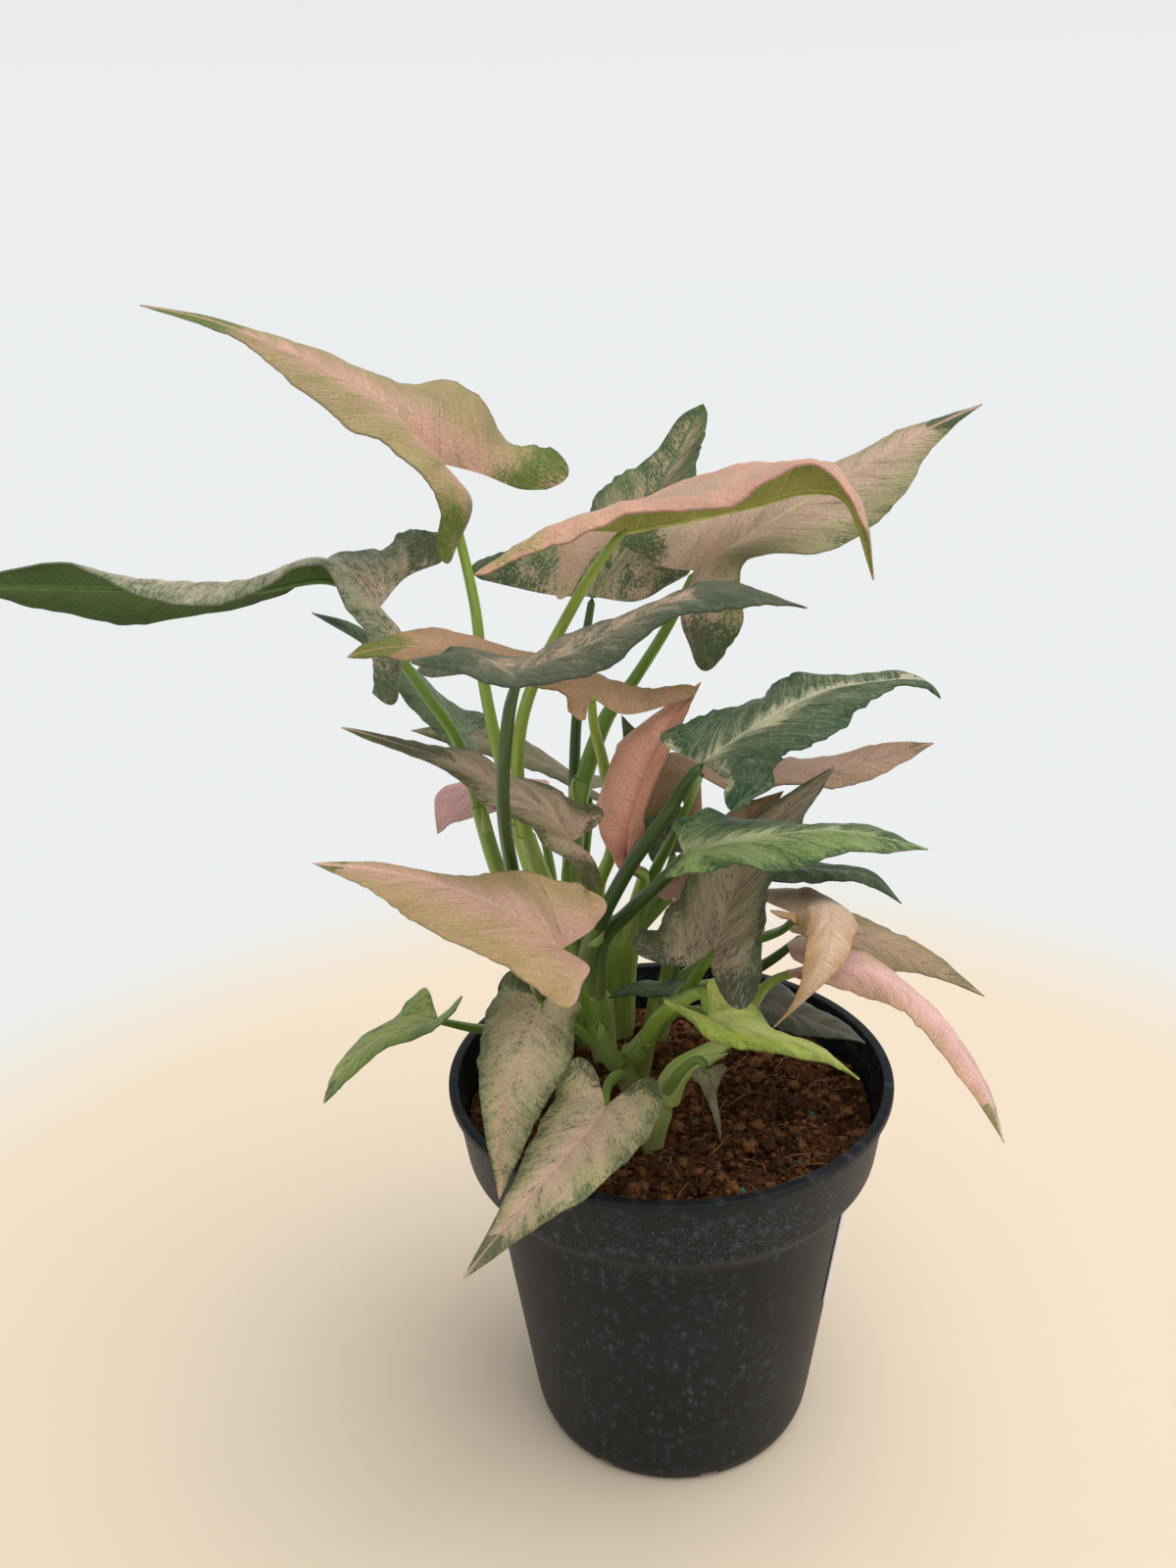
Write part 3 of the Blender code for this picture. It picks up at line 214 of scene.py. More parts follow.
# Each blade: its rib from the joint to the tip, then each margin from the lobe's end towards the
# tip, and the points of each lobe's inner edge. For the left and the right half, arch is how far it
# bulges as a share of its width, and ends is half the width of the lobe's round end, where these
# aren't the usual ones. The wave is the height and the count of the ripples along the margin.
BLADES = {
    "top_pink": dict(
        arch=(0.12, 0.10), wave=(1.0, 3), ends=(3, 6),
        rib=[(-57, 4, 293), (-63, 2, 301), (-68, 0, 307), (-78, -4, 315), (-89, -9, 321),
             (-105, -14, 329), (-122, -18, 334)],
        left=[(-55, -10, 273), (-56, -15, 285), (-59, -16, 293), (-66, -17, 301), (-73, -18, 303),
              (-83, -18, 312), (-95, -17, 322), (-108, -17, 329)],
        left_notch=[(-49, -2, 284)],
        right=[(-30, 20, 288), (-34, 24, 294), (-42, 25, 296), (-50, 25, 307), (-57, 22, 312),
               (-67, 16, 312), (-78, 6, 317), (-90, -3, 324), (-105, -11, 330)],
        right_notch=[(-39, 18, 284), (-48, 12, 289)]),
    "far_left": dict(
        arch=(0.26, 0.10), wave=(1.0, 3), ends=(4, 4),
        rib=[(-75, -4, 257), (-86, -8, 266), (-105, -14, 265), (-129, -20, 267), (-149, -26, 269),
             (-173, -36, 272)],
        left=[(-73, -10, 237), (-76, -13, 249), (-79, -16, 260), (-85, -20, 272), (-104, -27, 266),
              (-125, -32, 268), (-147, -32, 276)],
        left_notch=[(-69, -4, 250)],
        right=[(-61, 14, 269), (-69, 16, 274), (-76, 14, 269), (-89, 4, 269), (-105, -4, 260),
               (-133, -14, 256), (-153, -22, 263)],
        right_notch=[(-70, 10, 262)]),
    "back_upright": dict(
        wave=(1.0, 3),
        rib=[(-21, 36, 250), (-9, 42, 267), (3, 50, 287), (8, 53, 296), (11, 54, 301)],
        left=[(-53, 38, 258), (-41, 42, 264), (-24, 46, 270), (-18, 50, 278), (-3, 53, 288),
              (4, 54, 297)],
        left_notch=[(-33, 35, 251)],
        right=[(5, 30, 258), (9, 38, 265), (10, 42, 273), (9, 49, 284), (11, 53, 292),
               (12, 54, 298)],
        right_notch=[(-8, 30, 250)]),
    "right_pink": dict(
        arch=(0.10, 0.12), wave=(1.0, 3), ends=(3, 5),
        rib=[(8, 14, 262), (27, 14, 274), (46, 16, 285), (64, 18, 295), (82, 20, 303)],
        left=[(-10, 28, 268), (-3, 34, 276), (11, 34, 282), (31, 32, 285), (47, 29, 289),
              (65, 24, 297)],
        left_notch=[(-1, 20, 262)],
        right=[(11, 0, 243), (19, -4, 252), (21, -4, 268), (42, 2, 270), (59, 9, 279),
               (70, 16, 294)],
        right_notch=[(4, 6, 252)]),
    "curled_pink": dict(
        arch=(0.12, 0.24), wave=(1.0, 3), ends=(4, 3),
        rib=[(-10, -12, 278), (5, -14, 281), (21, -14, 284), (35, -14, 287), (44, -16, 284),
             (50, -22, 267)],
        left=[(-26, -2, 262), (-26, 4, 272), (-14, 10, 279), (3, 10, 285), (22, 8, 291),
              (36, 4, 292), (44, -8, 288)],
        left_notch=[(-19, -7, 270)],
        right=[(-42, -32, 272), (-25, -34, 280), (-9, -32, 285), (8, -32, 286), (21, -31, 291),
               (34, -29, 295), (45, -25, 286)],
        right_notch=[(-26, -20, 279)]),
    "near_grey": dict(
        arch=(0.08, 0.12), wave=(1.0, 3),
        rib=[(-33, -62, 255), (-23, -65, 260), (-12, -68, 266), (0, -73, 273), (13, -79, 278),
             (28, -84, 276)],
        left=[(-54, -52, 255), (-49, -48, 258), (-34, -46, 256), (-23, -48, 261), (-12, -52, 266),
              (2, -60, 274), (15, -72, 278)],
        left_notch=[(-42, -56, 255)],
        right=[(-51, -76, 263), (-41, -82, 263), (-30, -84, 260), (-18, -86, 263), (-8, -88, 269),
               (4, -90, 276), (16, -90, 279)],
        right_notch=[(-43, -68, 263)]),
    "pink_arrow": dict(
        arch=(0.12, 0.12), wave=(1.0, 3), ends=(3, 2),
        rib=[(-19, -18, 237), (-33, -22, 244), (-48, -28, 251), (-63, -34, 255), (-76, -38, 254)],
        left=[(-22, -26, 236), (-27, -30, 242), (-39, -34, 248), (-54, -38, 253), (-67, -40, 254)],
        right=[(6, -8, 235), (-6, -6, 236), (-20, -8, 240), (-37, -14, 249), (-55, -20, 255),
               (-69, -29, 257)],
        right_notch=[(-10, -14, 231)]),
    "unfurling": dict(
        arch=(0.25, 0.15), wave=(0.5, 2),
        rib=[(-11, -7, 185), (-9, -11, 202), (-2, -10, 220), (9, -6, 237)],
        left=[(-13, -8, 187), (-17, -9, 193), (-19, -4, 202), (-11, -2, 220)],
        right=[(-9, -10, 188), (-7, -15, 195), (-5, -20, 207), (3, -13, 227)]),
    "grey_left": dict(
        wave=(1.0, 3),
        rib=[(-25, -20, 198), (-34, -22, 209), (-51, -26, 221), (-80, -34, 235)],
        left=[(-20, -22, 187), (-26, -26, 195), (-33, -29, 204), (-43, -32, 212), (-57, -34, 224)],
        left_notch=[(-20, -21, 194)],
        right=[(-19, -17, 204), (-27, -11, 207), (-39, -13, 214), (-57, -21, 225)]),
    "peach_left": dict(
        arch=(0.08, 0.12), wave=(1.0, 3), ends=(5, 4),
        rib=[(-27, -42, 178), (-37, -45, 188), (-48, -50, 197), (-66, -57, 206), (-83, -62, 211)],
        left=[(-26, -52, 172), (-33, -56, 174), (-40, -58, 182), (-50, -60, 188), (-61, -61, 196),
              (-72, -62, 205)],
        left_notch=[(-20, -46, 175)],
        right=[(-19, -36, 187), (-23, -34, 192), (-34, -34, 195), (-43, -36, 197), (-54, -42, 198),
               (-67, -53, 207)],
        right_notch=[(-20, -38, 181)]),
    "hang_left": dict(
        arch=(0.12, 0.12), wave=(1.0, 3), ends=(4, 4),
        rib=[(-33, -44, 163), (-37, -51, 153), (-42, -60, 142), (-43, -68, 121)],
        left=[(-25, -37, 163), (-24, -38, 156), (-26, -47, 149), (-33, -60, 140)],
        right=[(-40, -39, 166), (-46, -40, 161), (-48, -51, 154), (-47, -62, 144)]),
    "hang_front": dict(
        wave=(1.0, 3), ends=(5, 5),
        rib=[(-17, -42, 131), (-23, -52, 128), (-34, -68, 123), (-51, -82, 108)],
        left=[(-6, -38, 133), (-3, -46, 131), (-11, -58, 125), (-27, -76, 123)],
        right=[(-24, -36, 137), (-30, -42, 135), (-34, -53, 131), (-41, -68, 122)]),
    "green_upper": dict(
        wave=(1.0, 3), ends=(3, 4),
        rib=[(9, -32, 224), (23, -34, 235), (37, -35, 243), (51, -37, 246), (60, -39, 247),
             (64, -41, 243)],
        left=[(1, -24, 228), (10, -22, 233), (22, -22, 238), (31, -26, 244), (44, -30, 246),
              (56, -35, 247)],
        right=[(17, -42, 219), (24, -45, 223), (26, -45, 229), (36, -45, 234), (46, -43, 242),
               (55, -41, 246), (62, -41, 245)],
        right_notch=[(14, -38, 222)]),
    "green_lower": dict(
        arch=(0.15, 0.15), wave=(1.0, 3),
        rib=[(4, -45, 205), (18, -48, 210), (39, -52, 214), (60, -58, 212)],
        left=[(4, -36, 209), (13, -34, 212), (26, -40, 211), (47, -48, 213)],
        right=[(2, -54, 204), (12, -58, 208), (25, -60, 208), (44, -60, 212)]),
    "brown_hanging": dict(
        arch=(-0.12, 0.12), wave=(1.0, 3), ends=(5, 5),
        rib=[(12, -36, 175), (16, -33, 187), (24, -25, 201), (44, -10, 215)],
        left=[(-5, -40, 178), (-3, -40, 183), (2, -40, 190), (8, -36, 200), (24, -24, 208)],
        left_notch=[(4, -40, 172)],
        right=[(18, -44, 167), (23, -43, 173), (24, -38, 181), (26, -32, 192), (35, -20, 204)],
        right_notch=[(11, -40, 171)]),
    "bent_orange": dict(
        arch=(0.10, 0.15), wave=(0.5, 2),
        rib=[(36, -3, 168), (43, -9, 174), (43, -20, 169), (38, -26, 159), (28, -28, 147)],
        left=[(29, 8, 169), (41, 7, 171), (52, -3, 167), (50, -14, 166), (44, -22, 160)],
        right=[(30, -12, 172), (35, -15, 171), (36, -21, 172), (36, -26, 169), (34, -29, 158)]),
    "pink_drooping": dict(
        arch=(0.10, 0.15), wave=(0.5, 2),
        rib=[(40, -6, 153), (54, -10, 155), (69, -20, 149), (83, -29, 132), (90, -34, 115)],
        left=[(37, 1, 154), (47, 1, 156), (59, -3, 154), (74, -14, 143), (86, -25, 127)],
        right=[(35, -12, 154), (44, -15, 153), (55, -20, 151), (65, -26, 148), (78, -33, 134)]),
    "grey_right": dict(
        wave=(0.5, 2),
        rib=[(40, 16, 152), (57, 16, 151), (75, 12, 144), (92, 8, 136)],
        left=[(38, 22, 152), (49, 24, 156), (64, 22, 152), (79, 16, 145)],
        right=[(37, 10, 151), (48, 8, 149), (61, 8, 145), (76, 8, 143)]),
    "dark_sliver": dict(
        arch=(0.15, 0.15), wave=(0.5, 2),
        rib=[(29, 5, 179), (44, 5, 178), (56, 3, 177), (65, 0, 170)],
        left=[(25, 10, 178), (36, 14, 176), (47, 12, 176), (58, 7, 176)],
        right=[(25, 0, 178), (36, -3, 178), (46, -3, 178), (55, -2, 177)]),
    "rose_right": dict(
        wave=(0.5, 2),
        rib=[(26, 0, 207), (39, 0, 210), (57, 2, 212), (72, 4, 216)],
        left=[(24, 8, 207), (32, 10, 209), (44, 9, 211), (60, 7, 215)],
        right=[(25, -5, 206), (32, -9, 210), (45, -6, 207), (60, -2, 211)]),
    "rust_left": dict(
        wave=(0.5, 2),
        rib=[(9, 2, 208), (3, 4, 206), (-4, 7, 200), (-9, 8, 191)],
        left=[(7, -2, 198), (4, 0, 203), (1, 3, 199), (-5, 7, 194)],
        right=[(16, 8, 203), (9, 12, 209), (1, 14, 210), (-5, 10, 205)]),
    "peach_behind": dict(
        wave=(0.5, 2),
        rib=[(4, -8, 176), (12, -5, 187), (21, 0, 195), (32, 5, 202)],
        left=[(-1, -6, 177), (4, -2, 181), (11, 2, 191), (20, 4, 198)],
        right=[(2, -14, 177), (12, -14, 182), (20, -9, 190), (28, -1, 197)]),
    "slate_behind": dict(
        wave=(0.5, 2),
        rib=[(2, 19, 178), (-3, 22, 187), (-8, 25, 200), (-13, 28, 217)],
        left=[(-3, 19, 177), (-8, 22, 182), (-10, 24, 191), (-12, 26, 204)],
        right=[(6, 19, 180), (5, 22, 188), (1, 24, 197), (-7, 27, 210)]),
    "slate_left": dict(
        wave=(0.5, 2),
        rib=[(-58, 30, 211), (-68, 30, 222), (-83, 28, 237), (-100, 26, 249)],
        left=[(-57, 22, 209), (-64, 22, 211), (-74, 22, 224), (-87, 24, 241)],
        right=[(-55, 36, 213), (-62, 38, 217), (-74, 38, 227), (-87, 31, 243)]),
    "olive_left": dict(
        arch=(0.15, 0.10), wave=(0.5, 2),
        rib=[(-25, 51, 185), (-40, 52, 194), (-58, 52, 202), (-79, 51, 205)],
        left=[(-21, 46, 184), (-31, 44, 189), (-42, 44, 195), (-58, 46, 199)],
        right=[(-21, 58, 185), (-32, 61, 188), (-45, 62, 197), (-60, 58, 205)]),
    "blush_back": dict(
        wave=(0.5, 2),
        rib=[(-43, 60, 179), (-54, 62, 181), (-66, 65, 177), (-76, 68, 163)],
        left=[(-41, 54, 177), (-50, 54, 177), (-60, 57, 174), (-70, 62, 169)],
        right=[(-41, 68, 180), (-53, 72, 182), (-65, 73, 179), (-76, 72, 176)]),
    "green_far_left": dict(
        wave=(0.5, 2),
        rib=[(-66, -8, 137), (-77, -12, 136), (-88, -18, 132), (-97, -26, 121)],
        left=[(-59, -16, 147), (-66, -20, 140), (-78, -22, 138), (-89, -27, 129)],
        right=[(-72, 2, 139), (-81, 1, 133), (-89, -6, 130), (-96, -16, 125)]),
    "lime": dict(
        wave=(0.5, 2), ends=(4, 2),
        rib=[(10, -38, 156), (23, -42, 154), (37, -46, 151), (48, -50, 145)],
        left=[(13, -28, 158), (21, -27, 155), (29, -34, 149), (39, -42, 149)],
        right=[(0, -46, 164), (12, -51, 157), (25, -52, 154), (40, -52, 151)]),
    "dark_on_soil": dict(
        wave=(0.5, 2),
        rib=[(28, 8, 135), (38, 6, 131), (48, 4, 127), (57, 0, 125)],
        left=[(24, 14, 135), (33, 18, 134), (43, 15, 129), (52, 9, 126)],
        right=[(24, 0, 135), (33, -4, 132), (41, -4, 129), (50, -2, 128)]),
    "dark_small": dict(
        wave=(0.3, 2),
        rib=[(2, 10, 137), (-4, 9, 138), (-11, 8, 138), (-18, 5, 137)],
        left=[(3, 6, 137), (-1, 4, 138), (-6, 4, 138), (-12, 3, 139)],
        right=[(2, 14, 137), (-2, 15, 137), (-7, 13, 138), (-13, 9, 139)]),
    "withered": dict(
        arch=(0.20, 0.20), wave=(0.3, 2),
        rib=[(10, -45, 144), (11, -46, 138), (12, -48, 132), (13, -50, 127)],
        left=[(13, -44, 144), (13, -45, 141), (12, -46, 137), (13, -48, 131)],
        right=[(7, -46, 144), (8, -47, 141), (10, -48, 136), (12, -50, 131)]),
}
# Each shoot: its core from its foot in the soil, then the stalk of each blade, as x, y, z and
# radius.
SHOOTS = {
    "shoot_left": dict(
        core=[(-35, 27, 98, 4.5), (-36, 25, 111, 5.0), (-38, 22, 127, 4.6)],
        stalks={
            "near_grey": [(-37, 22, 123, 2.6), (-40, 2, 158, 2.4), (-41, -20, 188, 2.0),
                          (-40, -42, 218, 1.8), (-36, -57, 244, 1.6)],
            "far_left": [(-38, 23, 126, 2.6), (-46, 24, 153, 2.4), (-52, 22, 176, 2.0),
                         (-58, 12, 213, 1.8), (-65, 4, 231, 1.6), (-73, 0, 247, 1.4)],
            "slate_left": [(-40, 27, 119, 2.2), (-48, 30, 150, 2.0), (-54, 30, 179, 1.6),
                           (-57, 29, 203, 1.3)],
            "green_far_left": [(-38, 24, 115, 2.2), (-49, 16, 119, 1.8), (-57, 6, 126, 1.5),
                               (-63, -3, 133, 1.2)]}),
    "shoot_middle": dict(
        core=[(-24, 36, 99, 5.0), (-26, 34, 113, 5.6), (-28, 31, 130, 5.2)],
        stalks={
            "top_pink": [(-27, 32, 121, 2.6), (-35, 27, 151, 2.6), (-41, 22, 173, 2.2),
                         (-47, 14, 208, 1.9), (-50, 9, 234, 1.7), (-51, 6, 257, 1.5)],
            "curled_pink": [(-28, 31, 125, 2.6), (-34, 24, 156, 2.6), (-41, 16, 185, 2.2),
                            (-42, 12, 209, 2.0), (-37, 8, 231, 1.8), (-22, -7, 261, 1.5),
                            (-14, -14, 274, 1.2)],
            "back_upright": [(-26, 36, 119, 2.6), (-31, 38, 149, 2.4), (-29, 38, 173, 2.0),
                             (-27, 37, 209, 1.7), (-24, 37, 233, 1.5)],
            "right_pink": [(-25, 36, 121, 2.8), (-29, 34, 158, 3.0), (-26, 31, 190, 2.8),
                           (-18, 28, 215, 2.4), (-9, 24, 229, 1.8), (1, 17, 247, 1.5)],
            "blush_back": [(-28, 39, 115, 2.2), (-35, 48, 137, 2.0), (-38, 55, 158, 1.6),
                           (-41, 59, 172, 1.2)],
            "olive_left": [(-27, 36, 115, 2.2), (-27, 41, 141, 2.0), (-26, 44, 163, 1.6),
                           (-24, 45, 179, 1.2)]}),
    "shoot_dark": dict(
        core=[(-20, 24, 105, 4.2), (-21, 19, 122, 4.6), (-22, 14, 136, 4.2)],
        stalks={
            "green_upper": [(-22, 14, 135, 2.4), (-23, 3, 154, 2.4), (-11, -17, 188, 2.1),
                            (-1, -27, 207, 1.9), (5, -33, 220, 1.5)],
            "green_lower": [(-21, 13, 134, 2.4), (-19, 4, 156, 2.3), (-11, -5, 170, 2.1),
                            (-4, -20, 184, 1.9), (2, -40, 200, 1.5)],
            "grey_left": [(-24, 15, 134, 2.2), (-27, 6, 155, 2.0), (-28, -6, 177, 1.6),
                          (-27, -14, 190, 1.2)]}),
    "shoot_main": dict(
        core=[(-16, 44, 95, 5.2), (-16, 41, 110, 5.4), (-15, 36, 131, 5.2), (-12, 32, 149, 4.6)],
        stalks={
            "unfurling": [(-13, 34, 141, 3.0), (-9, 22, 161, 2.4), (-7, 10, 174, 2.0),
                          (-9, 1, 180, 1.5)],
            "slate_behind": [(-11, 33, 145, 2.4), (-4, 27, 160, 2.0), (0, 19, 171, 1.4)],
            "rust_left": [(-10, 32, 147, 2.4), (-4, 12, 174, 1.8), (2, -7, 195, 1.4),
                          (6, -9, 205, 1.1)],
            "rose_right": [(-10, 33, 145, 2.4), (4, 26, 165, 1.9), (15, 16, 185, 1.5),
                           (23, 3, 203, 1.2)],
            "pink_arrow": [(-15, 33, 140, 2.6), (-21, 26, 161, 2.2), (-16, 14, 182, 1.9),
                           (-17, 5, 207, 1.7), (-19, -9, 226, 1.4)]}),
    "shoot_back": dict(
        core=[(-6, 40, 98, 4.4), (-3, 37, 113, 4.6), (-1, 34, 127, 4.2)],
        stalks={
            "peach_behind": [(-1, 33, 128, 2.0), (1, 22, 147, 1.8), (3, 2, 166, 1.4)],
            "bent_orange": [(1, 34, 125, 2.4), (17, 24, 143, 2.0), (29, 10, 155, 1.5),
                            (33, 1, 162, 1.2)],
            "grey_right": [(0, 36, 121, 2.4), (19, 30, 129, 2.0), (30, 20, 141, 1.6)],
            "dark_sliver": [(0, 34, 127, 2.2), (8, 28, 151, 1.9), (20, 14, 168, 1.4),
                            (26, 7, 174, 1.2)],
            "dark_small": [(-2, 34, 121, 2.0), (2, 22, 125, 1.6), (3, 11, 132, 1.2)],
            "dark_on_soil": [(0, 34, 116, 2.2), (13, 24, 121, 1.8), (23, 13, 127, 1.3)]}),
    "shoot_front": dict(
        core=[(-10, 11, 97, 4.2), (-11, 7, 109, 4.8), (-12, 2, 122, 4.2)],
        stalks={
            "peach_left": [(-16, 0, 118, 2.4), (-22, -10, 137, 2.2), (-24, -26, 158, 1.8)],
            "hang_left": [(-15, -1, 119, 2.0), (-22, -8, 131, 1.8), (-28, -22, 145, 1.6),
                          (-32, -36, 156, 1.2)],
            "hang_front": [(-14, 0, 114, 2.0), (-16, -16, 123, 1.7), (-17, -32, 130, 1.3)],
            "brown_hanging": [(-11, 2, 120, 2.4), (-1, -2, 135, 2.2), (5, -12, 149, 1.9),
                              (9, -26, 164, 1.4)],
            "lime": [(-10, 8, 106, 2.7), (-8, 2, 118, 2.6), (-6, -8, 132, 2.4), (-2, -18, 145, 2.1),
                     (5, -28, 156, 1.8), (9, -35, 161, 1.4)]}),
    "shoot_right": dict(
        core=[(-6, -18, 96, 3.4), (-4, -20, 110, 3.8), (-1, -20, 121, 4.2)],
        stalks={
            "pink_drooping": [(-1, -20, 119, 3.6), (2, -19, 127, 3.4), (9, -15, 130, 2.8),
                              (17, -8, 131, 2.2), (22, -9, 140, 1.9), (29, 0, 145, 1.5)],
            "withered": [(-1, -21, 122, 1.8), (4, -34, 138, 1.4), (8, -41, 145, 1.1)]}),
}

STUBS = {
    "old_stub": [(-4, 53, 97, 2.6), (-3, 54, 104, 2.8), (2, 58, 111, 2.8)],
    "dead_stalk": [(-36, 12, 98, 1.2), (-35, 11, 105, 1.3), (-37, 17, 109, 1.1)],
}
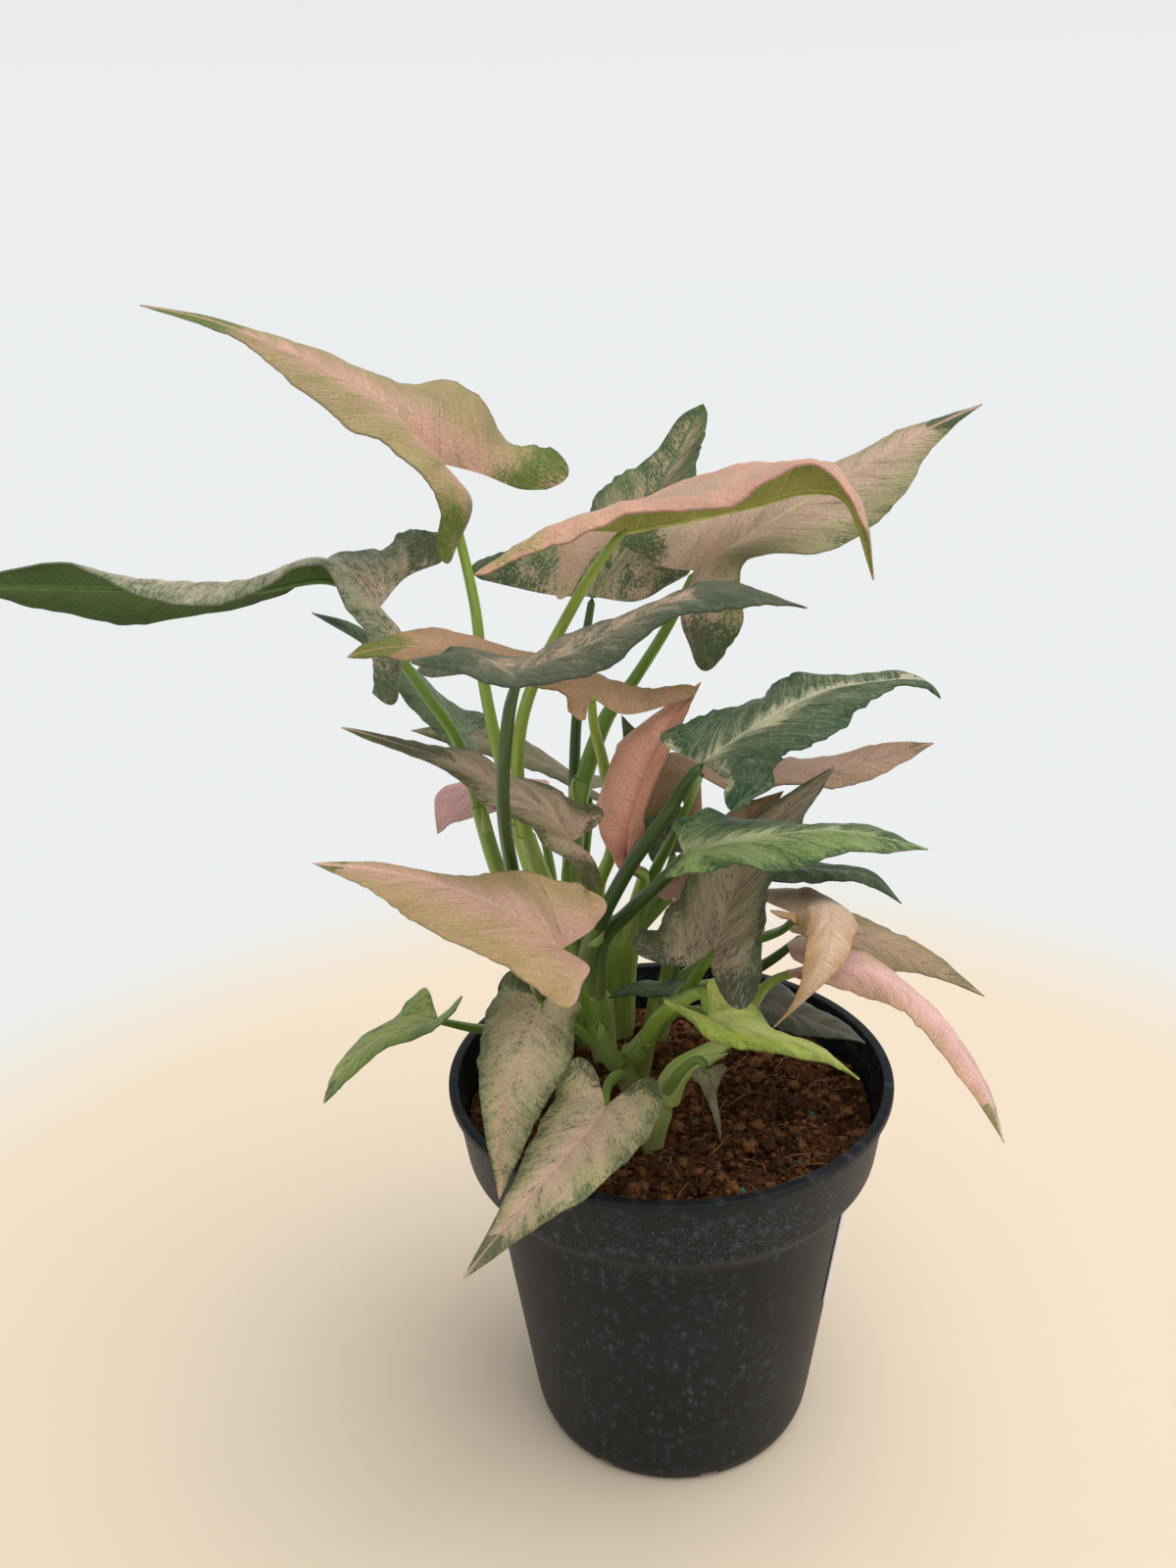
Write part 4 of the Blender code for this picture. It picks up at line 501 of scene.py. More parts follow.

# How each leaf is coloured, as red, green and blue from 0 to 255: centre and edge of the upper
# side, flecks, rib, and the under side, whose colour is its own, darkened in part with painted
# shade. The shares of flecks are all over, on the lobes, at the tip and along the edge. Tip_from
# is where along the rib the tip's colour starts. Some leaves have more: fade is where the centre's
# colour starts and ends its way to the edge's, streaks is how strong the pale streaks are far from
# the rib and beside it, right is the colour of the right half, and ragged is how uneven the margin
# is, as a share of the usual.
LOOKS = {
    "top_pink": dict(
        kind="leaf_pink", centre=(216, 166, 146), edge=(168, 148, 98), fleck=(92, 118, 36),
        flecks=(0.16, 0.62, 0.95, 0.22), rib=(207, 163, 142), under=(104, 128, 56), tip_from=0.72,
        fade=(0.0, 0.75)),
    "far_left": dict(
        kind="leaf_slate", centre=(234, 206, 178), edge=(152, 158, 124), fleck=(68, 92, 56),
        flecks=(0.38, 0.66, 0.95, 0.46), rib=(226, 177, 168), under=(72, 92, 44), tip_from=0.75,
        ragged=1.4),
    "back_upright": dict(
        kind="leaf_slate", centre=(217, 184, 156), edge=(120, 126, 81), fleck=(53, 84, 46),
        flecks=(0.42, 0.55, 0.60, 0.50), rib=(80, 118, 62), under=(110, 122, 84), tip_from=0.70,
        ragged=1.3),
    "right_pink": dict(
        kind="leaf_pink", centre=(218, 184, 159), edge=(162, 156, 106), fleck=(53, 81, 35),
        flecks=(0.18, 0.70, 0.75, 0.34), rib=(217, 179, 154), under=(146, 150, 96), tip_from=0.72),
    "curled_pink": dict(
        kind="leaf_salmon", centre=(205, 170, 146), edge=(217, 160, 136), fleck=(129, 138, 56),
        flecks=(0.06, 0.34, 0.55, 0.08), rib=(209, 180, 146), under=(140, 138, 70), tip_from=0.80),
    "near_grey": dict(
        kind="leaf_slate", centre=(204, 172, 144), edge=(84, 92, 68), fleck=(60, 76, 46),
        flecks=(0.42, 0.86, 0.95, 0.58), rib=(168, 144, 116), under=(50, 56, 28), tip_from=0.55,
        fade=(0.2, 0.85)),
    "pink_arrow": dict(
        kind="leaf_salmon", centre=(181, 138, 107), edge=(166, 128, 92), fleck=(105, 114, 36),
        flecks=(0.05, 0.30, 0.95, 0.10), rib=(184, 148, 107), under=(120, 130, 44), tip_from=0.62),
    "unfurling": dict(
        kind="leaf_rose", centre=(236, 177, 149), edge=(221, 151, 121), fleck=(129, 112, 55),
        flecks=(0.05, 0.10, 0.30, 0.10), rib=(236, 165, 142), under=(152, 146, 78), tip_from=0.88),
    "grey_left": dict(
        kind="leaf_mauve", centre=(208, 174, 149), edge=(145, 137, 97), fleck=(79, 83, 42),
        flecks=(0.28, 0.60, 0.80, 0.56), rib=(219, 183, 165), under=(120, 122, 78), tip_from=0.60,
        ragged=1.5),
    "peach_left": dict(
        kind="leaf_pink", centre=(228, 178, 154), edge=(198, 166, 114), fleck=(110, 119, 55),
        flecks=(0.08, 0.16, 0.75, 0.22), rib=(235, 187, 166), under=(150, 146, 90), tip_from=0.84,
        fade=(0.0, 0.8)),
    "hang_left": dict(
        kind="leaf_cream", centre=(192, 172, 136), edge=(134, 136, 86), fleck=(66, 84, 46),
        flecks=(0.30, 0.66, 0.30, 0.52), rib=(197, 163, 132), under=(136, 142, 92), tip_from=0.80),
    "hang_front": dict(
        kind="leaf_cream", centre=(208, 180, 150), edge=(160, 156, 102), fleck=(76, 90, 50),
        flecks=(0.28, 0.60, 0.72, 0.52), rib=(218, 178, 154), under=(140, 140, 96), tip_from=0.76),
    "green_upper": dict(
        kind="leaf_green", centre=(206, 202, 160), edge=(48, 86, 50), fleck=(45, 76, 40),
        flecks=(0.34, 0.50, 0.60, 0.45), rib=(214, 206, 174), under=(84, 108, 66), tip_from=0.66,
        fade=(0.0, 0.26), streaks=(0.15, 0.42), ragged=2.0),
    "green_lower": dict(
        kind="leaf_green", centre=(186, 190, 140), edge=(52, 90, 50), fleck=(46, 77, 39),
        flecks=(0.36, 0.50, 0.55, 0.50), rib=(180, 183, 132), under=(124, 148, 76), tip_from=0.70,
        right=(136, 160, 80), fade=(0.0, 0.34), streaks=(0.26, 0.55), ragged=1.3),
    "brown_hanging": dict(
        kind="leaf_mauve", centre=(172, 148, 120), edge=(98, 104, 66), fleck=(50, 62, 36),
        flecks=(0.32, 0.62, 0.40, 0.56), rib=(151, 126, 101), under=(126, 112, 88), tip_from=0.84,
        ragged=1.4),
    "bent_orange": dict(
        kind="leaf_tan", centre=(230, 202, 169), edge=(202, 155, 105), fleck=(138, 120, 62),
        flecks=(0.10, 0.10, 0.40, 0.18), rib=(225, 173, 152), under=(176, 130, 96), tip_from=0.80),
    "pink_drooping": dict(
        kind="leaf_rose", centre=(240, 185, 179), edge=(204, 157, 115), fleck=(129, 124, 66),
        flecks=(0.06, 0.10, 0.95, 0.22), rib=(237, 193, 182), under=(196, 150, 124), tip_from=0.80),
    "grey_right": dict(
        kind="leaf_mauve", centre=(179, 150, 119), edge=(146, 126, 82), fleck=(107, 103, 56),
        flecks=(0.24, 0.24, 0.60, 0.34), rib=(184, 150, 124), under=(140, 126, 90), tip_from=0.70,
        ragged=1.5),
    "dark_sliver": dict(
        kind="leaf_slate", centre=(78, 92, 57), edge=(56, 70, 41), fleck=(38, 55, 26),
        flecks=(0.50, 0.50, 0.60, 0.50), rib=(96, 108, 70), under=(62, 76, 44), tip_from=0.70,
        ragged=2.0),
    "rose_right": dict(
        kind="leaf_rose", centre=(182, 147, 127), edge=(166, 131, 100), fleck=(114, 105, 55),
        flecks=(0.12, 0.12, 0.50, 0.20), rib=(186, 149, 132), under=(144, 150, 74), tip_from=0.76,
        ragged=1.3),
    "rust_left": dict(
        kind="leaf_tan", centre=(163, 125, 97), edge=(137, 109, 69), fleck=(93, 91, 40),
        flecks=(0.16, 0.16, 0.40, 0.26), rib=(164, 128, 100), under=(126, 132, 60), tip_from=0.76),
    "peach_behind": dict(
        kind="leaf_salmon", centre=(184, 143, 120), edge=(142, 115, 78), fleck=(95, 91, 46),
        flecks=(0.14, 0.20, 0.40, 0.24), rib=(180, 146, 120), under=(130, 118, 78), tip_from=0.76),
    "slate_behind": dict(
        kind="leaf_slate", centre=(119, 121, 91), edge=(81, 93, 55), fleck=(50, 65, 32),
        flecks=(0.40, 0.40, 0.50, 0.42), rib=(124, 124, 92), under=(86, 98, 60), tip_from=0.76),
    "slate_left": dict(
        kind="leaf_slate", centre=(126, 134, 105), edge=(84, 102, 69), fleck=(53, 72, 42),
        flecks=(0.40, 0.40, 0.70, 0.42), rib=(128, 136, 104), under=(96, 112, 74), tip_from=0.70),
    "olive_left": dict(
        kind="leaf_mauve", centre=(141, 126, 100), edge=(105, 104, 58), fleck=(71, 74, 27),
        flecks=(0.24, 0.24, 0.50, 0.34), rib=(140, 128, 96), under=(98, 104, 34), tip_from=0.70),
    "blush_back": dict(
        kind="leaf_rose", centre=(220, 165, 162), edge=(198, 149, 140), fleck=(146, 120, 79),
        flecks=(0.06, 0.10, 0.30, 0.10), rib=(222, 174, 170), under=(182, 140, 124), tip_from=0.86),
    "green_far_left": dict(
        kind="leaf_lime", centre=(175, 182, 102), edge=(110, 144, 58), fleck=(62, 93, 40),
        flecks=(0.34, 0.42, 0.50, 0.46), rib=(186, 171, 110), under=(104, 126, 66), tip_from=0.74),
    "lime": dict(
        kind="leaf_lime", centre=(206, 206, 112), edge=(160, 174, 56), fleck=(100, 120, 40),
        flecks=(0.30, 0.34, 0.30, 0.50), rib=(194, 197, 111), under=(116, 126, 70), tip_from=0.82,
        fade=(0.0, 0.8)),
    "dark_on_soil": dict(
        kind="leaf_slate", centre=(120, 107, 88), edge=(68, 81, 56), fleck=(48, 58, 35),
        flecks=(0.36, 0.36, 0.50, 0.46), rib=(124, 108, 92), under=(72, 80, 54), tip_from=0.80),
    "dark_small": dict(
        kind="leaf_green", centre=(104, 115, 83), edge=(62, 87, 55), fleck=(43, 65, 35),
        flecks=(0.40, 0.40, 0.50, 0.40), rib=(110, 120, 88), under=(70, 86, 54), tip_from=0.70),
    "withered": dict(
        kind="leaf_withered", centre=(126, 120, 85), edge=(84, 78, 49), fleck=(64, 57, 29),
        flecks=(0.40, 0.40, 0.40, 0.40), rib=(128, 120, 86), under=(90, 84, 56), tip_from=0.90),
}
# The leaves with a yellow-green or dark green stalk. The others have a mid green one.
YELLOW_STALKS = ("top_pink", "curled_pink", "pink_arrow", "pink_drooping", "unfurling", "lime")
DARK_STALKS = (
    "near_grey", "back_upright", "green_upper", "green_lower", "grey_right", "dark_sliver")
# The stalks with a sheath that shows, and the share of each stalk's length that it wraps
SHEATHED = {
    "far_left": 0.5, "near_grey": 0.42, "top_pink": 0.4, "curled_pink": 0.38, "right_pink": 0.5,
    "back_upright": 0.34, "green_upper": 0.34, "peach_left": 0.36, "lime": 0.4,
    "pink_drooping": 0.36, "brown_hanging": 0.5,
}


def paint(colour):
    """A colour given as 0 to 255 values, as the linear colour that a shader reads."""
    linear = []
    for value in colour:
        share = value / 255.0
        linear.append(share / 12.92 if share <= 0.04045 else ((share + 0.055) / 1.055) ** 2.4)
    return (*linear, 1.0)


def toned(colour, share):
    """A colour made darker or paler by a share."""
    return [min(255.0, share * value) for value in colour]


def colour_sockets(sockets):
    """Those of a node's sockets that hold a colour."""
    return [socket for socket in sockets if socket.type == "RGBA"]


class Finish:
    """A material whose colour and relief come from a few patterns."""

    def __init__(self, name, roughness, specular=0.5):
        self.material = bpy.data.materials.new(name)
        self.material.use_nodes = True
        self.tree = self.material.node_tree
        self.shader = self.tree.nodes["Principled BSDF"]
        self.shader.inputs["Roughness"].default_value = roughness
        self.shader.inputs["Specular IOR Level"].default_value = specular

    def put(self, socket, value):
        """Set a socket to a number or colour, or link it to another node."""
        if isinstance(value, bpy.types.NodeSocket):
            self.tree.links.new(value, socket)
        else:
            socket.default_value = value

    def place(self):
        """Object coordinates in millimetres."""
        found = self.tree.nodes.new("ShaderNodeTexCoord")
        return self.stretched(found.outputs["Object"], (1.0 / MM, 1.0 / MM, 1.0 / MM))

    def chart(self, name):
        """The piece's own map, in millimetres."""
        found = self.tree.nodes.new("ShaderNodeUVMap")
        found.uv_map = name
        return found.outputs["UV"]

    def value(self, name):
        """A number kept at each point of the piece."""
        found = self.tree.nodes.new("ShaderNodeAttribute")
        found.attribute_name = name
        return found.outputs["Fac"]

    def stretched(self, vector, scale, shift=(0.0, 0.0, 0.0)):
        """A vector scaled along each axis, then moved."""
        found = self.tree.nodes.new("ShaderNodeMapping")
        self.put(found.inputs["Vector"], vector)
        found.inputs["Scale"].default_value = scale
        found.inputs["Location"].default_value = shift
        return found.outputs["Vector"]

    def parts(self, vector):
        """The x, y and z of a vector."""
        found = self.tree.nodes.new("ShaderNodeSeparateXYZ")
        self.put(found.inputs["Vector"], vector)
        return found.outputs

    def cloud(self, vector, size, detail=2.0, low=0.3, high=0.7):
        """Soft noise with blotches of about a size, spread to 0 to 1."""
        found = self.tree.nodes.new("ShaderNodeTexNoise")
        self.put(found.inputs["Vector"], vector)
        found.inputs["Scale"].default_value = 1.0 / size
        found.inputs["Detail"].default_value = detail
        return self.step(found.outputs["Fac"], low, high, smooth=False)

    def grained(self, vector, share, size, detail=2.0, low=0.3, high=0.7):
        """Soft noise drawn out along the second axis: a small share makes long streaks."""
        return self.cloud(self.stretched(vector, (1.0, share, 1.0)), size, detail, low, high)

    def cells(self, vector, size, feature="F1"):
        """Cells of about a size: the distance within each one and a number of its own."""
        found = self.tree.nodes.new("ShaderNodeTexVoronoi")
        found.feature = feature
        self.put(found.inputs["Vector"], vector)
        found.inputs["Scale"].default_value = 1.0 / size
        own = self.parts(found.outputs["Color"])[0] if feature == "F1" else None
        return found.outputs["Distance"], own

    def step(self, value, low, high, smooth=True):
        """0 below the low value and 1 above the high one."""
        found = self.tree.nodes.new("ShaderNodeMapRange")
        found.interpolation_type = "SMOOTHSTEP" if smooth else "LINEAR"
        self.put(found.inputs["Value"], value)
        self.put(found.inputs["From Min"], low)
        self.put(found.inputs["From Max"], high)
        return found.outputs["Result"]

    def spread(self, value, low, high):
        """A share from 0 to 1 turned into a number between two others."""
        return self.plus(self.times(value, high - low), low)

    def reckon(self, operation, first, second=0.0):
        """One step of arithmetic."""
        found = self.tree.nodes.new("ShaderNodeMath")
        found.operation = operation
        self.put(found.inputs[0], first)
        self.put(found.inputs[1], second)
        return found.outputs["Value"]

    def times(self, first, second):
        """Two numbers multiplied."""
        return self.reckon("MULTIPLY", first, second)

    def plus(self, first, second):
        """Two numbers added."""
        return self.reckon("ADD", first, second)

    def larger(self, first, second):
        """The larger of two numbers."""
        return self.reckon("MAXIMUM", first, second)

    def blend(self, share, first, second, way="MIX"):
        """Two colours mixed by a share."""
        found = self.tree.nodes.new("ShaderNodeMix")
        found.data_type = "RGBA"
        found.blend_type = way
        self.put(found.inputs["Factor"], share)
        colours = colour_sockets(found.inputs)
        self.put(colours[0], first)
        self.put(colours[1], second)
        return colour_sockets(found.outputs)[0]

    def shaded(self, colour, share, low, high):
        """A colour made darker or paler, from the low factor at 0 to the high one at 1."""
        return self.blend(1.0, colour, self.spread(share, low, high), "MULTIPLY")

    def colour(self, value):
        """Give the shader its colour."""
        self.put(self.shader.inputs["Base Color"], value)

    def relief(self, height, distance, strength=1.0):
        """Fine relief, in millimetres."""
        found = self.tree.nodes.new("ShaderNodeBump")
        found.inputs["Strength"].default_value = strength
        found.inputs["Distance"].default_value = distance * MM
        self.put(found.inputs["Height"], height)
        self.put(self.shader.inputs["Normal"], found.outputs["Normal"])


def side_veins(finish, chart, along, across, lobe):
    """Side veins, as a share that is 1 on each vein: they run from the rib towards the tip."""
    wander = finish.times(finish.cloud(chart, 14.0, 1.0), 2.4)
    line = finish.reckon("PINGPONG", finish.plus(along, wander), 0.5 * VEIN_SPACING)
    vein = finish.step(line, 0.55, 0.05)
    vein = finish.times(vein, finish.step(across, 1.0, 0.35))
    return finish.times(vein, finish.step(lobe, 0.5, 0.0))


def fleck_mask(finish, chart, shares, across, lobe, tip):
    """Green flecks and a wash of green, denser on the lobes, at the tip and along the edge."""
    everywhere, on_lobe, at_tip, at_edge = shares
    amount = finish.times(finish.step(lobe, 0.05, 0.75), on_lobe)
    amount = finish.larger(amount, finish.times(finish.step(tip, 0.0, 0.5), at_tip))
    amount = finish.larger(amount, finish.times(finish.step(across, 0.4, 1.0), at_edge))
    amount = finish.larger(amount, everywhere)
    speck = finish.grained(chart, 0.62, SPECK_SIZE, 6.0, 0.3, 0.7)
    grit = finish.grained(chart, 0.8, GRIT_SIZE, 3.0, 0.28, 0.72)
    patch = finish.grained(chart, 0.6, PATCH_SIZE, 5.0, 0.3, 0.7)
    grain = finish.plus(finish.times(speck, 0.4), finish.times(patch, 0.3))
    grain = finish.plus(grain, finish.times(grit, 0.3))
    reach = finish.plus(grain, finish.times(amount, 0.95))
    wash = finish.step(finish.plus(patch, amount), 0.5, 1.5)
    return finish.step(reach, 0.83, 1.07), finish.times(wash, FLECK_WASH), speck


def leaf_tones(look, upper):
    """The centre, edge, pale and fleck colours of one side of a leaf, and its shares of flecks."""
    if upper:
        return look["centre"], look["edge"], look["rib"], look["fleck"], look["flecks"]
    # The under side's colour is its own, darkened in part with painted shade
    under = look["under"]
    shares = [share * UNDER_FLECKS for share in look["flecks"]]
    return toned(under, 1.08), toned(under, 0.9), toned(under, 1.35), toned(under, 0.72), shares


def leaf_finish(name, look, seed, upper):
    """One side of a leaf: feathered colours, veins, green flecks, the rib and a thin margin."""
    finish = Finish(name, LEAF_ROUGHNESS if upper else UNDER_ROUGHNESS, 0.35 if upper else 0.25)
    centre, edge, pale, fleck, shares = leaf_tones(look, upper)
    own = finish.chart("blade")
    chart = finish.stretched(own, (1.0, 1.0, 1.0), (37.0 * seed, 11.0 * seed, 0.0))
    along, out, _ = finish.parts(own)
    across, lobe, tip = (finish.value(key) for key in ("across", "lobe", "tip"))
    clouds = finish.cloud(chart, 10.0, 3.0)
    strands = finish.grained(chart, 0.10, 0.8, 3.0)
    feather = finish.grained(chart, 0.16, 2.6, 3.0)
    # The pale middle runs out towards the edge in feathers along the veins
    reach = finish.plus(across, finish.spread(clouds, -0.16, 0.16))
    reach = finish.plus(reach, finish.spread(feather, -0.2, 0.2))
    fade = finish.step(reach, *look.get("fade", USUAL_FADE))
    colour = finish.blend(fade, paint(centre), paint(edge))
    if "right" in look and upper:
        right_half = finish.times(finish.value("side"), 0.75)
        colour = finish.blend(right_half, colour, paint(look["right"]))
    colour = finish.shaded(colour, finish.cloud(chart, 18.0, 3.0), 0.8, 1.14)
    # Pale streaks and side veins
    vein = side_veins(finish, chart, along, across, lobe)
    from_rib = finish.reckon("ABSOLUTE", out)
    near = finish.times(finish.step(from_rib, 16.0, 0.5), finish.step(lobe, 0.6, 0.0))
    faint, full = look.get("streaks", USUAL_STREAKS) if upper else UNDER_STREAKS
    streak = finish.times(strands, finish.spread(near, faint, full))
    colour = finish.blend(streak, colour, paint(pale))
    colour = finish.blend(finish.times(vein, 0.28 if upper else 0.5), colour, paint(pale))
    # Green flecks over a wash of green
    mask, wash, speck = fleck_mask(finish, chart, shares, across, lobe, tip)
    colour = finish.blend(wash, colour, paint(toned(fleck, 1.2)))
    colour = finish.blend(finish.times(mask, FLECK_DEPTH), colour, paint(fleck))
    # A net of fine pale veins, and uneven skin between them
    net_chart = finish.stretched(chart, (1.0, 0.7, 1.0))
    net_distance, _ = finish.cells(net_chart, NET_SIZE, "DISTANCE_TO_EDGE")
    net = finish.step(net_distance, 0.12, 0.0)
    colour = finish.blend(finish.times(net, 0.14), colour, paint(pale))
    colour = finish.shaded(colour, finish.cloud(chart, 0.6, 4.0), 0.79, 1.16)
    # The rib and the darker margin
    near_rib = finish.times(finish.step(from_rib, RIB_WIDTH, 0.3 * RIB_WIDTH),
                            finish.step(lobe, 0.12, 0.0))
    colour = finish.blend(finish.times(near_rib, 0.75), colour, paint(pale))
    margin = finish.times(finish.step(across, 0.955, 1.0), 0.55)
    finish.colour(finish.blend(margin, colour, paint(toned(look["edge"], 0.62))))
    # Veins are sunk on the upper side and raised on the under side
    bumps = finish.plus(finish.times(vein, -0.8 if upper else 0.8), finish.times(strands, 0.4))
    bumps = finish.plus(bumps, finish.times(net, -0.45 if upper else 0.45))
    bumps = finish.plus(bumps, finish.times(speck, 0.25))
    finish.relief(bumps, 0.3, 0.8)
    return finish.material


def rib_finish(name, look):
    """The rib on a leaf's under side."""
    finish = Finish(name, 0.5, 0.3)
    fine = finish.cloud(finish.place(), 2.5, 2.0)
    light = paint(toned(look["under"], 1.4))
    dark = paint(toned(look["under"], 1.15))
    finish.colour(finish.blend(fine, light, dark))
    finish.relief(fine, 0.1, 0.5)
    return finish.material


def stalk_finish(name, light, dark):
    """A smooth green stalk with lengthwise streaks, paler at its foot partly with painted light,
    and a few small marks.
    """
    finish = Finish(name, 0.36, 0.4)
    chart = finish.chart("stalk")
    streaks = finish.grained(chart, 0.04, 0.9, 4.0)
    bands = finish.grained(chart, 0.03, 3.0, 2.0)
    blotch = finish.cloud(chart, 16.0, 2.0)
    colour = finish.blend(finish.plus(finish.times(streaks, 0.5), finish.times(bands, 0.5)),
                          paint(dark), paint(light))
    colour = finish.shaded(colour, blotch, 0.85, 1.12)
    # The paler foot is partly its own colour and partly painted light against the shade near the
    # soil
    pale = [0.4 * value + 0.6 * other for value, other in zip(light, STALK_FOOT)]
    foot = finish.times(finish.value("foot"), finish.spread(bands, 0.35, 0.95))
    colour = finish.blend(foot, colour, paint(pale))
    mark = finish.grained(chart, 0.5, 1.1, 2.0, 0.70, 0.76)
    colour = finish.blend(finish.times(mark, 0.5), colour, paint(STALK_MARK))
    finish.colour(colour)
    finish.relief(finish.plus(streaks, bands), 0.14, 0.7)
    return finish.material


def sheath_tip_finish():
    """The pale papery tip of a sheath."""
    finish = Finish("sheath_tip", 0.5, 0.3)
    lines = finish.grained(finish.chart("stalk"), 0.06, 0.8, 3.0)
    finish.colour(finish.blend(lines, paint(SHEATH_TIP_DARK), paint(SHEATH_TIP_LIGHT)))
    finish.relief(lines, 0.1, 0.6)
    return finish.material


def pot_finish():
    """Matte black plastic with soft grey flecks, and dust on the collar with painted sheen on the
    right.
    """
    finish = Finish("pot_plastic", 0.5, 0.22)
    chart = finish.chart("wrap")
    turn, height, _ = finish.parts(chart)
    tall = finish.stretched(chart, (1.0, 0.6, 1.0))
    wide = finish.cloud(chart, 26.0, 2.0, 0.35, 0.72)
    # Flecks a little taller than wide, ragged, and missing here and there
    drift = finish.cloud(chart, 3.0, 3.0)
    distance, own = finish.cells(tall, POT_FLECK_SIZE)
    fleck = finish.times(finish.step(distance, 0.74, 0.05), finish.step(own, 0.0, 0.8))
    ragged = finish.cloud(tall, 1.0, 4.0, 0.3, 0.58)
    fleck = finish.times(finish.times(fleck, ragged), finish.step(drift, 0.25, 0.62))
    # Dust of finer grit on the collar, with painted sheen that makes it stronger on the right
    grit = finish.cloud(tall, POT_GRIT_SIZE, 4.0, 0.56, 0.72)
    collar = finish.times(finish.step(height, COLLAR_FOOT - 10.0, COLLAR_FOOT),
                          finish.step(height, POT_HEIGHT - 1.0, COLLAR_FOOT + 12.0))
    # Painted sheen: the grit is paler and denser towards the pot's right
    from_right = finish.reckon("ABSOLUTE", finish.plus(turn, 0.9 * POT_CHART_RADIUS))
    sheen_side = finish.step(from_right, 80.0, 20.0)
    dust_and_sheen = finish.times(finish.times(grit, collar), finish.spread(sheen_side, 0.25, 0.9))
    colour = finish.blend(finish.cloud(chart, 34.0, 3.0), paint(POT_DARK), paint(POT_LIGHT))
    strength = finish.times(fleck, finish.spread(wide, 0.38, 0.78))
    colour = finish.blend(strength, colour, paint(POT_FLECK))
    colour = finish.blend(finish.times(dust_and_sheen, 0.62), colour, paint(POT_DUST_AND_SHEEN))
    strength = finish.times(grit, finish.spread(wide, 0.05, 0.14))
    finish.colour(finish.blend(strength, colour, paint(POT_FLECK)))
    roughness = finish.spread(finish.larger(fleck, dust_and_sheen), 0.46, 0.75)
    finish.put(finish.shader.inputs["Roughness"], roughness)
    grain = finish.grained(chart, 0.5, 0.9, 4.0)
    finish.relief(finish.plus(grain, fleck), 0.12, 0.5)
    return finish.material


def label_finish():
    """Blank satin paper with a faint grain."""
    finish = Finish("label_paper", 0.45, 0.4)
    grain = finish.cloud(finish.place(), 1.4, 3.0)
    finish.colour(finish.blend(grain, paint(LABEL_SHADE), paint(LABEL_WHITE)))
    finish.relief(grain, 0.05, 0.3)
    return finish.material


def soil_finish(name, dark, light):
    """Moist coco peat: clods of several browns with thready grain, and painted shade almost black
    in the hollows.
    """
    finish = Finish(name, 0.9, 0.2)
    place = finish.place()
    clods = finish.cloud(place, 3.2, 4.0)
    grains = finish.cloud(place, 0.7, 4.0)
    threads = finish.cloud(finish.stretched(place, (1.0, 0.16, 0.5)), 0.55, 3.0, 0.42, 0.66)
    colour = finish.blend(clods, paint(dark), paint(light))
    colour = finish.blend(finish.times(grains, 0.5), colour, paint(toned(light, 1.2)))
    colour = finish.blend(finish.times(threads, 0.4), colour, paint(toned(light, 1.5)))
    # Painted shade: the low parts of the surface go almost black
    hollow_shade = finish.step(finish.value("raised"), 0.62, 0.2)
    colour = finish.blend(finish.times(hollow_shade, 0.85), colour, paint(SOIL_HOLLOW_SHADE))
    finish.colour(colour)
    finish.relief(finish.plus(clods, finish.plus(grains, threads)), 0.7, 1.0)
    return finish.material


def plain_finish(name, first, second, size, roughness):
    """A dry thing in two tones."""
    finish = Finish(name, roughness, 0.25)
    tones = finish.cloud(finish.place(), size, 3.0)
    finish.colour(finish.blend(tones, paint(first), paint(second)))
    finish.relief(tones, 0.2, 0.8)
    return finish.material


def deselect():
    """Leave edit mode and select nothing."""
    if bpy.context.object and bpy.context.object.mode != "OBJECT":
        bpy.ops.object.mode_set(mode="OBJECT")
    bpy.ops.object.select_all(action="DESELECT")


def settle(piece, node):
    """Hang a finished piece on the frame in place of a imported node."""
    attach(piece, "root")
    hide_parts(node)


def shaped_grid(name, rows, chart, values):
    """A grid primitive whose points are moved to rows of points in millimetres.

    Chart names the map that holds a pair of millimetres for each point, and values holds a number
    for each point under its own name.
    """
    deselect()
    columns = len(rows[0]) - 1
    bpy.ops.mesh.primitive_grid_add(x_subdivisions=columns, y_subdivisions=len(rows) - 1, size=MM)
    piece = bpy.context.object
    piece.name = name
    mesh = piece.data
    flat = [number * MM for row in rows for point in row for number in point]
    mesh.vertices.foreach_set("co", flat)
    pairs = [pair for row in chart[1] for pair in row]
    layer = mesh.uv_layers[0]
    layer.name = chart[0]
    corners = [number for loop in mesh.loops for number in pairs[loop.vertex_index]]
    layer.data.foreach_set("uv", corners)
    for key, numbers in values.items():
        kept = mesh.attributes.new(key, "FLOAT", "POINT")
        kept.data.foreach_set("value", [number for row in numbers for number in row])
    mesh.update()
    return piece


def join(pieces, name, merge=None):
    """Several pieces joined into the first, with points that meet merged."""
    deselect()
    for piece in pieces:
        piece.select_set(True)
    bpy.context.view_layer.objects.active = pieces[0]
    if len(pieces) > 1:
        bpy.ops.object.join()
    piece = bpy.context.object
    piece.name = name
    if merge:
        bpy.ops.object.mode_set(mode="EDIT")
        bpy.ops.mesh.select_all(action="SELECT")
        bpy.ops.mesh.remove_doubles(threshold=merge * MM)
        bpy.ops.object.mode_set(mode="OBJECT")
    return piece


